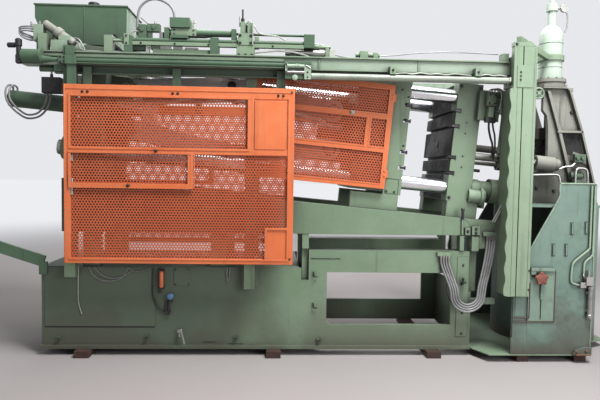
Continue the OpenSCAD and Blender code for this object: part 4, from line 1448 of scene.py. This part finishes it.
@dataclass
class TopWorks(Assembly):
    """The oil tank's fittings, the slide unit and the pipes on the beam."""

    beam: float = 2230.0

    def tank(self) -> None:
        """The tank's rim, seams, cap, level glass and drain."""
        rim = self.piece("tank_trims", "dark_green", 1.5)
        rim.boxes((-132, 213, 2643, 579, 220, 2655), (-132, 680, 2643, 579, 687, 2655),
                  (-132, 220, 2643, -125, 680, 2655), (572, 220, 2643, 579, 680, 2655),
                  (242, 217, 2352, 250, 220, 2643), (242, 680, 2352, 250, 683, 2643))
        rim.lathe((60, 450, 2655), Z, [(0, 60), (22, 60), (26, 48)]).box((360, 340, 2655), (540, 560, 2668))
        rim.done()
        dark = self.piece("tank_fittings", "black_steel", 0.5)
        dark.bolts([(x, y, 2668) for x in (376, 524) for y in (356, 450, 544)], Z, 8, 1)
        dark.lathe((250, 450, 2655), Z, [(0, 34), (30, 34), (34, 44), (74, 44), (80, 36)], 24)
        dark.rod((480, 220, 2420), Y, -16, 14).done()
        glass = self.piece("tank_gauge", "bare_steel", 0.8)
        glass.box((150, 680, 2420), (178, 692, 2600)).done()

    def gear(self) -> None:
        """The lubrication pump, its pipes and looped leads on the beam's left end."""
        pale = self.piece("pump_body", "pale_green", 2.0)
        low, high, across = Vector((272, -60, 2290)), Vector((57, -60, 2437)), Vector((0, 1, 0))
        side = (high - low).cross(across).normalized()
        outline = ((0, 26), (0.02, 34), (0.42, 34), (0.44, 42), (0.6, 42), (0.62, 30), (0.97, 30), (1.0, 22))
        rings = [[low.lerp(high, share) + side * a + across * b for a, b in circle(20, radius)]
                 for share, radius in outline]
        self.piece("pump_barrel", "casting_cream", 1.0).loft(rings).done()
        pale.boxes((120, -110, self.beam, 232, -20, self.beam + 80),
                   (170, -96, self.beam + 78, 250, -30, self.beam + 118), (-4, -100, 2300, 62, -30, 2420),
                   (20, -105, self.beam, 52, -40, 2302))
        pale.rod((60, -64, 2330), X, 62, 12).done()
        wires = self.piece("pump_pipes", "tube")
        for start, bend in ((0, 0), (1, 14), (2, 30)):
            wires.tube([(-4, -70 + 8 * start, 2404 - 16 * start), (-60, -76, 2408 - bend),
                        (-112, -70, 2398 - bend), (-96, -64, 2366 - bend), (-40, -60, 2344 - bend),
                        (10, -60, 2320)], 6)
        wires.tube([(240, -64, 2310), (300, -80, 2300), (330, -90, 2250), (420, -95, 2240),
                    (640, -100, 2238)], 6)
        wires.tube([(250, -70, 2330), (300, -60, 2330), (340, -60, 2262), (360, -70, 2238),
                    (560, -110, 2236)], 5)
        wires.flat_tube(-60, [(722, 2352), (718, 2440), (736, 2560), (800, 2620), (880, 2625), (962, 2575),
                              (990, 2480), (986, 2400), (984, 2360)], 9, 10)
        wires.tube([(749, -80, 2490), (790, -84, 2455), (850, -80, 2410), (910, -76, 2372),
                    (960, -72, 2352)], 5)
        wires.tube([(1926, -60, 2371), (2000, -50, 2345), (2080, -50, 2328), (2160, -70, 2260),
                    (2300, -80, 2238)], 5)
        wires.tube([(2488, -60, 2262), (2620, -60, 2272), (2760, -62, 2290), (2920, -60, 2300),
                    (3120, -60, 2303), (3380, -62, 2296)], 5)
        wires.done()
        fittings = self.piece("pump_fittings", "bare_steel", 0.5)
        for x, z in ((150, 2352), (188, 2352), (-30, 2420), (30, 2425)):
            fittings.lathe((x, -66, z), Z, [(-4, 9), (10, 9), (12, 6), (24, 6)], 6)
        for x, z in ((722, 2340), (984, 2336)):
            fittings.lathe((x, -60, z - 8), Z, [(0, 13), (14, 13), (16, 11), (32, 11)], 6)
        fittings.done()

    def slide(self) -> None:
        """The slide unit's rail, cylinders, valves and ram."""
        green = self.piece("slide_parts", "machine_green", 1.5)
        green.boxes((653, -128, 2286, 1925, -92, 2312), (640, -132, 2280, 676, -18, 2364))
        green.rod((532, -110, 2316), X, 110, 11)
        green.lathe((1148, -60, 2390), X, [(0, 32), (60, 32), (120, 22), (280, 20)], 20)
        green.boxes((969, -100, 2364, 1148, -20, 2416), (976, -96, 2416, 1120, -24, 2463),
                    (840, -110, self.beam, 1270, -30, self.beam + 34), (1440, -136, 2215, 1568, -14, 2300),
                    (1452, -140, 2300, 1556, -10, 2384), (1466, -120, 2384, 1500, -30, 2470),
                    (1516, -126, 2384, 1558, -30, 2462), (1568, -112, 2290, 1600, -40, 2368),
                    (1400, -104, 2320, 1440, -44, 2372))
        green.lathe((1990, -60, 2314), X, [(0, 22), (50, 22), (54, 15), (136, 15)], 20)
        green.box((2084, -92, self.beam), (2110, -28, 2306)).rod((2310, -60, 2266), X, 178, 17)
        green.boxes((2340, -86, self.beam, 2400, -34, 2292), (2440, -80, self.beam, 2476, -40, 2284),
                    (822, -104, self.beam + 34, 890, -40, 2288), (1830, -90, self.beam, 1864, -30, 2262))
        green.done()
        valves = self.piece("slide_valves", "dark_green", 1.5)
        # The last block, under the rail's end, is a dark fill: painted shade of the rail over dark parts
        # beneath it.
        valves.boxes((734, -96, 2336, 790, -36, 2440), (796, -92, 2392, 886, -40, 2446),
                     (796, -84, 2336, 826, -44, 2392), (676, -102, 2254, 790, -40, 2312))
        valves.rod((762, -96, 2402), Y, -8, 15).rod((842, -92, 2420), Y, -8, 13).done()
        ram = self.piece("slide_ram", "bare_steel", 0.8)
        ram.rod((1790, -60, 2270), X, 294, 25).rod((898, -70, 2336), Z, 54, 18)
        ram.lathe((850, -66, 2446), Z, [(0, 11), (12, 11), (14, 7), (24, 7)], 8).done()

    def slide_fittings(self) -> None:
        """The hoses, bolts, lines and small valves on the slide unit."""
        loop = self.piece("slide_hoses", "pale_wire")
        loop.tube([(1564, -108, 2250), (1610, -112, 2257), (1680, -114, 2264), (1745, -114, 2269),
                   (1847, -112, 2264), (1930, -104, 2247), (1968, -98, 2233)], 7)
        loop.tube([(668, -84, 2346), (672, -86, 2368), (693, -86, 2386), (718, -86, 2391), (742, -84, 2386),
                   (760, -80, 2370), (764, -78, 2350)], 5)
        loop.done()
        dark = self.piece("slide_bolts", "black_steel", 0.5)
        dark.bolts([(x, -140, z) for x in (1466, 1542) for z in (2316, 2368)], Y, 8)
        dark.bolts([(x, -136, 2232) for x in (1458, 1504, 1550)], Y, 8)
        dark.bolts([(658, -132, z) for z in (2296, 2348)], Y, 6)
        dark.bolts([(x, -128, 2299) for x in (760, 1000, 1240, 1700)], Y, 6)
        dark.lathe((1480, -84, 2470), Z, [(0, 13), (30, 13), (34, 6), (96, 6)], 14)
        dark.box((1504, -100, 2402), (1522, -50, 2452))
        dark.bolts([(x, -100, z) for x in (990, 1128) for z in (2376, 2404)], Y, 5).done()
        pale = self.piece("slide_fittings", "pale_wire", 0.5)
        pale.rod((1462, -100, 2440), Z, 70, 7)
        pale.boxes((893, -108, self.beam + 34, 968, -60, 2288),
                   (984, -104, self.beam + 34, 1050, -50, 2284), (792, -112, self.beam, 812, -60, 2288),
                   (1066, -104, self.beam + 34, 1160, -50, self.beam + 50),
                   (2114, -86, self.beam, 2158, -34, 2300))
        pale.rod((1556, -142, 2302), Z, 158, 4)
        pale.tube([(1500, -100, 2452), (1530, -110, 2476), (1566, -110, 2440), (1610, -100, 2392),
                   (1720, -96, 2380), (1790, -92, 2352)], 5)
        for x in (1040, 1090, 1130):
            pale.lathe((x, -60, 2463), Z, [(0, 10), (12, 10), (14, 6), (26, 6)], 8)
        pale.done()

    def build(self) -> None:
        """Dresses the top of the machine."""
        self.tank()
        self.gear()
        self.slide()
        self.slide_fittings()


@dataclass
class Pot(Assembly):
    """The pot housing's edges, hatch, conduits and cylinder."""

    face: float = -170.0
    top: float = 1342.0

    def build(self) -> None:
        """Dresses the pot housing."""
        self.edges()
        self.hatch()
        self.lines()

    def edges(self) -> None:
        """The rolled rims, slots and foot of the side plates."""
        y = self.face
        rim = self.piece("pot_rims", "pale_green")
        for at in (y, 2 * self.frames.mid_y - y):
            rim.flat_tube(at, [(3619, 836), (3725, 1034), (3829, 1228), (3834, 1300), (3842, 1336),
                               (3870, self.top), (4100, self.top)], 6, 8, 5)
            rim.bar((4110, at, self.top), (4110, at, 66), 6, 8)
        rim.done()
        teal = self.piece("pot_plates", "teal", 1.2)
        # The slots are near-black frames and strips on the plate: painted shade of their openings.
        slots = self.piece("pot_slots", "hollow")
        for x, z in ((3801, 848), (3897, 848), (3936, 1008), (4043, 1014)):
            framed(slots, x - 14, x + 14, z - 47, z + 47, y - 1.4, y - 0.2, 3)
            slots.box((x - 7, y - 1.4, z - 40), (x - 4, y - 0.2, z + 40))
            teal.box((x - 3, y - 7, z - 40), (x + 10, y, z + 42))
        teal.plate([(3972, 62), (4112, 62), (4112, 118), (4060, 122), (3990, 96)], Y, y - 26, y).done()
        slots.box((3506, y - 1.4, 190), (3512, y - 0.2, 800)).done()
        foot = self.piece("pot_foot_bolts", "rust", 0.8)
        foot.bolts([(4000, y - 26, 86), (4070, y - 26, 92)], Y, 9)
        foot.box((3985, y - 40, 62), (4100, y - 26, 72)).done()

    def hatch(self) -> None:
        """The hatch's seams, slot, star knob and the thin lines under it."""
        y = self.face
        seams = self.piece("hatch_seams", "hollow")
        framed(seams, 3616, 3823, 310, 702, y - 1.2, y - 0.2, 6)
        seams.boxes((3714, y - 9.6, 328, 3721, y - 8.4, 520), (3640, y - 9.8, 650, 3690, y - 8.4, 660))
        seams.done()
        bars = self.piece("hatch_bars", "pale_teal", 1.5)
        bars.boxes((3632, y - 22, 690, 3812, y - 8, 716), (3632, y - 20, 664, 3672, y - 8, 690))
        bars.rod((3717, y - 14, 480), Z, 150, 9).done()
        knob = self.piece("hatch_knob", "red_knob", 2.0)
        knob.lathe((3702, y, 640), Y, [(-36, 30), (-37, 39.5), (-51, 39.5), (-55, 24)], 24)
        for a, b in circle(5, 36, 0.3):
            knob.lathe((3702 + a, y, 640 + b), Y, [(-34, 12), (-36, 15), (-50, 15), (-54, 10)], 16)
        knob.done()
        thin = self.piece("hatch_lines", "iron")
        thin.tube([(3517, y - 4, 309), (3640, y - 4, 309), (3740, y - 4, 310), (3812, y - 4, 312),
                   (3822, y - 6, 330), (3823, y - 6, 520), (3823, y - 6, 690)], 5)
        thin.flat_tube(y - 8, [(3519, 341), (3590, 340), (3622, 342), (3632, 360), (3632, 600)], 5).done()

    def lines(self) -> None:
        """The conduits down the right edge, their valve and the small cylinder."""
        y = self.face
        pipes = self.piece("pot_conduits", "pale_green")
        pipes.flat_tube(y - 12, [(4072, 1330), (4072, 1100), (4072, 890), (4066, 856), (4030, 824),
                                 (3966, 770), (3948, 744), (3942, 700), (3940, 630), (3952, 602),
                                 (4010, 586)], 8, 10, 5)
        pipes.flat_tube(y - 12, [(4096, 1330), (4096, 1100), (4096, 850), (4088, 806), (4050, 772),
                                 (4036, 744), (4034, 690), (4034, 650)], 8, 10, 5)
        pipes.done()
        steel = self.piece("pot_valve", "bare_steel", 1.0)
        steel.boxes((4004, y - 34, 572, 4046, y, 612), (4042, y - 44, 590, 4094, y, 654))
        steel.rod((4068, y - 22, 654), Z, 46, 9)
        steel.lathe((4084, y - 26, 336), Z, [(0, 14), (10, 22), (30, 22), (34, 18), (220, 18), (224, 23),
                                             (246, 23), (250, 12), (262, 12)], 20)
        steel.boxes((4060, y - 14, 386, 4108, y, 406), (4060, y - 14, 520, 4108, y, 540))
        steel.tube([(4046, y - 20, 640), (4030, y - 26, 652), (4026, y - 26, 664), (4034, y - 14, 672)], 6)
        steel.done()


@dataclass
class Injection(Assembly):
    """The injection frame, its shot cylinder and the gas bottle over it."""

    cheek: float = 130.0
    shot_x: float = 4030.0

    def cheeks(self) -> None:
        """Flanges and ribs of the two cheeks, with a sheet of painted shade in each pocket."""
        edge = [(3830, 2089), (4018, 2089), (4036, 2071), (4146, 1750), (4262, 1330), (4280, 1180)]
        y = self.cheek
        for side in Side:
            cast = self.piece("cheek_ribs", "casting_cream", 3.0, side)
            for (x0, z0), (x1, z1) in zip(edge, edge[1:]):
                cast.plate([(x0, z0), (x1, z1), (x1 - 16, z1 - 8), (x0 - 16, z0 - 8)], Y, y - 34, y + 2)
            cast.plate([(3846, 2062), (3872, 2062), (3972, 1746), (4092, 1312), (4064, 1312), (3946, 1746)],
                       Y, y - 30, y + 2)
            cast.box((3940, y - 34, 1736), (4146, y + 2, 1754))
            cast.plate([(4076, 1590), (4182, 1560), (4186, 1492), (4060, 1520)], Y, y - 20, y + 2).done()
            # The pocket is a near-black sheet of painted shade for the dark space in the cheek.
            pocket = self.piece("cheek_pocket", "hollow", 0.0, side)
            pocket.plate([(3980, 1736), (4122, 1736), (4168, 1566), (4030, 1566)], Y, y - 1.5, y - 0.3)
            pocket.done()
            green = self.piece("cheek_valve", "dark_green", 2.0, side)
            green.box((4070, y - 60, 1506), (4160, y - 20, 1570)).rod((4088, y - 60, 1538), Y, -18, 14)
            green.rod((4130, y - 60, 1538), Y, -18, 14).done()
            bolts = self.piece("cheek_bolts", "black_steel", 0.6, side)
            places = ((4060, 1900), (3940, 1280), (4180, 1280), (3800, 1300), (4200, 1460))
            bolts.bolts([(x, y, z) for x, z in places], Y, 12).done()

    def bottle(self) -> None:
        """The shot cylinder's flange bolts, welds, cap and gauge."""
        mid = self.frames.mid_y
        dark = self.piece("shot_bolts", "black_steel", 0.8)
        for z, reach in ((2144, 116), (2202, 118)):
            dark.bolts([(self.shot_x + a, mid + b, z) for a, b in circle(12, reach)], Z, 8, 1)
        dark.bolts([(3450, -225, 2340), (3560, -200, 2354)], Y, 8).done()
        trims = self.piece("shot_trims", "machine_green", 1.0)
        for z in (2300, 2500):
            trims.ring((self.shot_x, mid, z), Z, 94, 3, 40)
        trims.done()
        steel = self.piece("gas_valve", "bare_steel", 0.8)
        steel.lathe((self.shot_x + 46, mid, 2800), X, [(0, 14), (30, 14), (32, 9), (54, 9)], 6)
        steel.lathe((self.shot_x + 100, mid - 20, 2800), Y, [(0, 34), (24, 34), (28, 30)])
        steel.tube([(4130, 440, 2790), (4150, 430, 2740), (4150, 430, 2640), (4120, 440, 2560)], 7, 10)
        steel.done()

    def pipes(self) -> None:
        """The open tube, bent pipes, motor and handwheel beside the frame."""
        steel = self.piece("injection_pipes", "bare_steel")
        steel.flat_tube(0, [(3696, 1402), (3790, 1406), (3880, 1408), (3908, 1398), (3918, 1370),
                            (3920, 1345)], 9, 12)
        steel.flat_tube(60, [(4074, 1345), (4074, 1420), (4084, 1452), (4120, 1462), (4156, 1452),
                             (4170, 1420), (4174, 1345)], 9, 12)
        steel.tube([(3930, 80, 1440), (3990, 70, 1468), (4040, 60, 1476), (4066, 60, 1500)], 7, 10).done()
        wheel = self.piece("handwheel", "pale_green")
        wheel.ring((3774, 96, 2039), Y, 40, 7, 36).rod((3774, 90, 2039), Y, 60, 10)
        for a, b in circle(4, 38, 0.5):
            wheel.bar((3774, 96, 2039), (3774 + a, 96, 2039 + b), 5, 8)
        wheel.box((3760, 140, 2010), (3850, 160, 2066)).done()
        motor = self.piece("pump_motor", "dark_green", 1.5)
        motor.lathe((4046, 100, 1400), X, [(0, 30), (8, 36), (12, 36), (90, 36), (94, 28), (110, 20)], 24)
        motor.box((4060, 70, 1340), (4130, 130, 1372)).done()
        rods = self.tilted("traverse_sheaths", "bare_steel")
        # traverse_ends: near-black discs at the open tube ends, painted shade inside the tubes.
        ends = self.tilted("traverse_ends", "hollow")
        for way in (1, -1):
            rods.rod((374, way * 379, -92), X, 186, 28.6).rod((598.5, way * 379, -92), X, 252, 28.6)
            ends.rod((934, way * 379, -92), X, 1, 35.6)
        rods.done()
        ends.done()
        lever = self.piece("plunger_yoke", "iron", 2.0)
        lever.box((3900, 330, 1700), (4160, 570, 1790))
        lever.lathe((4030, 450, 1650), Z, [(0, 60), (60, 60), (62, 74), (150, 74)]).done()

    def build(self) -> None:
        """Dresses the injection unit."""
        self.cheeks()
        self.bottle()
        self.pipes()


# The studio.


@dataclass(frozen=True)
class Lamp:
    """A large soft lamp."""

    name: str
    place: Point
    aim: Point
    size: float
    power: float

    def hang(self) -> None:
        """Hangs the lamp over the studio."""
        light = bpy.data.lights.new(self.name, "AREA")
        light.shape, light.size, light.energy = "DISK", self.size, self.power
        stand = bpy.data.objects.new(self.name, light)
        stand.location = self.place
        stand.rotation_euler = (Vector(self.aim) - Vector(self.place)).to_track_quat("-Z", "Y").to_euler()
        bpy.context.scene.collection.objects.link(stand)


@dataclass
class Studio:
    """The camera, the lamps, the floor and the sky."""

    frames: Frames
    eye: Point = (1728.0, -4220.0, 1400.0)
    yaw: float = 2.6
    pitch: float = 2.9
    roll: float = 0.9
    lens: float = 33.6
    floor_colour: Colour = (0.36, 0.335, 0.33)
    floor_half: float = 60.0
    fades: Flat = (4.0, 13.0)
    haze: Colour = (0.80, 0.81, 0.84)
    sky_colour: Colour = (0.86, 0.88, 0.92)
    sky_light: float = 0.2
    lamps: tuple[Lamp, ...] = (
        Lamp("key", (1.6, -2.9, 6.6), (0.7, -0.3, 1.0), 2.4, 640.0),
        Lamp("fill", (4.2, -5.4, 2.4), (1.2, 0.0, 1.1), 3.0, 165.0),
        Lamp("top", (0.3, 0.6, 6.5), (0.3, 0.2, 0.0), 5.0, 200.0),
        Lamp("back", (-1.0, 6.0, 4.0), (0.0, 0.0, 1.2), 4.0, 160.0),
    )

    def camera(self) -> None:
        """Stands the camera where the photographer stood."""
        yaw, pitch, roll = (math.radians(v) for v in (self.yaw, self.pitch, self.roll))
        ahead = Vector((math.sin(yaw) * math.cos(pitch), math.cos(yaw) * math.cos(pitch), -math.sin(pitch)))
        right = Vector((math.cos(yaw), -math.sin(yaw), 0.0))
        up = right.cross(ahead)
        right, up = right * math.cos(roll) + up * math.sin(roll), up * math.cos(roll) - right * math.sin(roll)
        view = bpy.data.cameras.new("camera")
        view.lens, view.sensor_width, view.clip_end = self.lens, 36.0, 200.0
        stand = bpy.data.objects.new("camera", view)
        turn = Matrix((right, up, -ahead)).transposed().to_4x4()
        stand.matrix_world = Matrix.Translation(self.frames.level @ Vector(self.eye)) @ turn
        bpy.context.scene.collection.objects.link(stand)
        bpy.context.scene.camera = stand

    def sky(self) -> None:
        """Lights the studio dimly from all round, and shows the haze behind and in what shines."""
        world = bpy.data.worlds.new("world")
        bpy.context.scene.world = world
        world.use_nodes = True
        tree = world.node_tree
        light, haze = tree.nodes["Background"], tree.nodes.new("ShaderNodeBackground")
        light.inputs["Color"].default_value = (*self.sky_colour, 1.0)
        light.inputs["Strength"].default_value = self.sky_light
        haze.inputs["Color"].default_value = (*self.haze, 1.0)
        wires = Wires(tree)
        path = wires.node("LightPath").outputs
        seen = wires.most(path["Is Camera Ray"], path["Is Glossy Ray"])
        both = wires.feed(wires.node("MixShader"), seen, light.outputs[0], haze.outputs[0])
        wires.put(tree.nodes["World Output"].inputs["Surface"], both)

    def floor(self) -> None:
        """Lays a pale floor that fades into the haze far from the machine."""
        ground, half = bpy.data.meshes.new("floor"), self.floor_half
        ground.from_pydata([(-half, -half, 0), (half, -half, 0), (half, half, 0), (-half, half, 0)], [],
                           [(0, 1, 2, 3)])
        floor = bpy.data.objects.new("floor", ground)
        bpy.context.scene.collection.objects.link(floor)
        material, wires, shader = surface("floor")
        black = (0.0, 0.0, 0.0)
        away = wires.node("VectorMath", operation="LENGTH")
        wires.feed(away, wires.node("NewGeometry").outputs["Position"])
        far = wires.span(away.outputs["Value"], *self.fades)
        near = wires.mix(wires.noise(0.6, 6.0), self.floor_colour, darker(self.floor_colour, 0.88))
        wires.fill(shader, base_color=wires.mix(far, near, black), roughness=0.75,
                   emission_color=wires.mix(far, black, self.haze), emission_strength=1.0)
        shader.inputs["Specular IOR Level"].default_value = 0.1
        ground.materials.append(material)

    def build(self) -> None:
        """Sets up the studio."""
        self.camera()
        for lamp in self.lamps:
            lamp.hang()
        self.sky()
        self.floor()
        bpy.context.scene.view_settings.view_transform = "Standard"


def dress_nodes(nodes: dict[str, bpy.types.Object], subparts: list[dict]) -> None:
    """Gives every node of the model its finish and rounds its edges.

    Args:
        nodes: The model's nodes by name.
        subparts: The record's rows, with each node's material slot.
    """
    slots = {row["node"]: row["material_slot"] for row in subparts}
    for name, made in sorted(nodes.items()):
        coat(made, OWN_FINISH.get(name, slots[name]))
        weld = made.modifiers.new("weld", "WELD")
        weld.merge_threshold = NODE_WELD
        flat = made.modifiers.new("flat", "DECIMATE")
        flat.decimate_type, flat.angle_limit = "DISSOLVE", NODE_FLAT_BELOW
        soften(made, NODE_EDGE, NODE_ROUND_FROM)
        even = made.modifiers.new("even", "WEIGHTED_NORMAL")
        even.keep_sharp = True
        LOG.info("%s: finish %s", name, made.data.materials[0].name)


def main() -> None:
    """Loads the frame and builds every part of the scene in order."""
    logging.basicConfig(level=logging.INFO, format="%(message)s", stream=sys.stdout)
    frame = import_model()
    frames = Frames()
    Studio(frames).build()
    Workshop().build()
    for name, finish in FINISHES.items():
        finish.make(COAT + name)
    Hoses(frames).build()
    dress_nodes(frame["nodes"], frame["record"]["subparts"])
    parts = (Bed(frames), Clamp(frames), Toggle(frames), Guards(frames), Door(frames),
             Door(frames, Side.REAR), Beams(frames), TopWorks(frames), Pot(frames), Injection(frames))
    for part in parts:
        LOG.info("building %s", type(part).__name__)
        part.build()


if __name__ == "__main__":
    main()
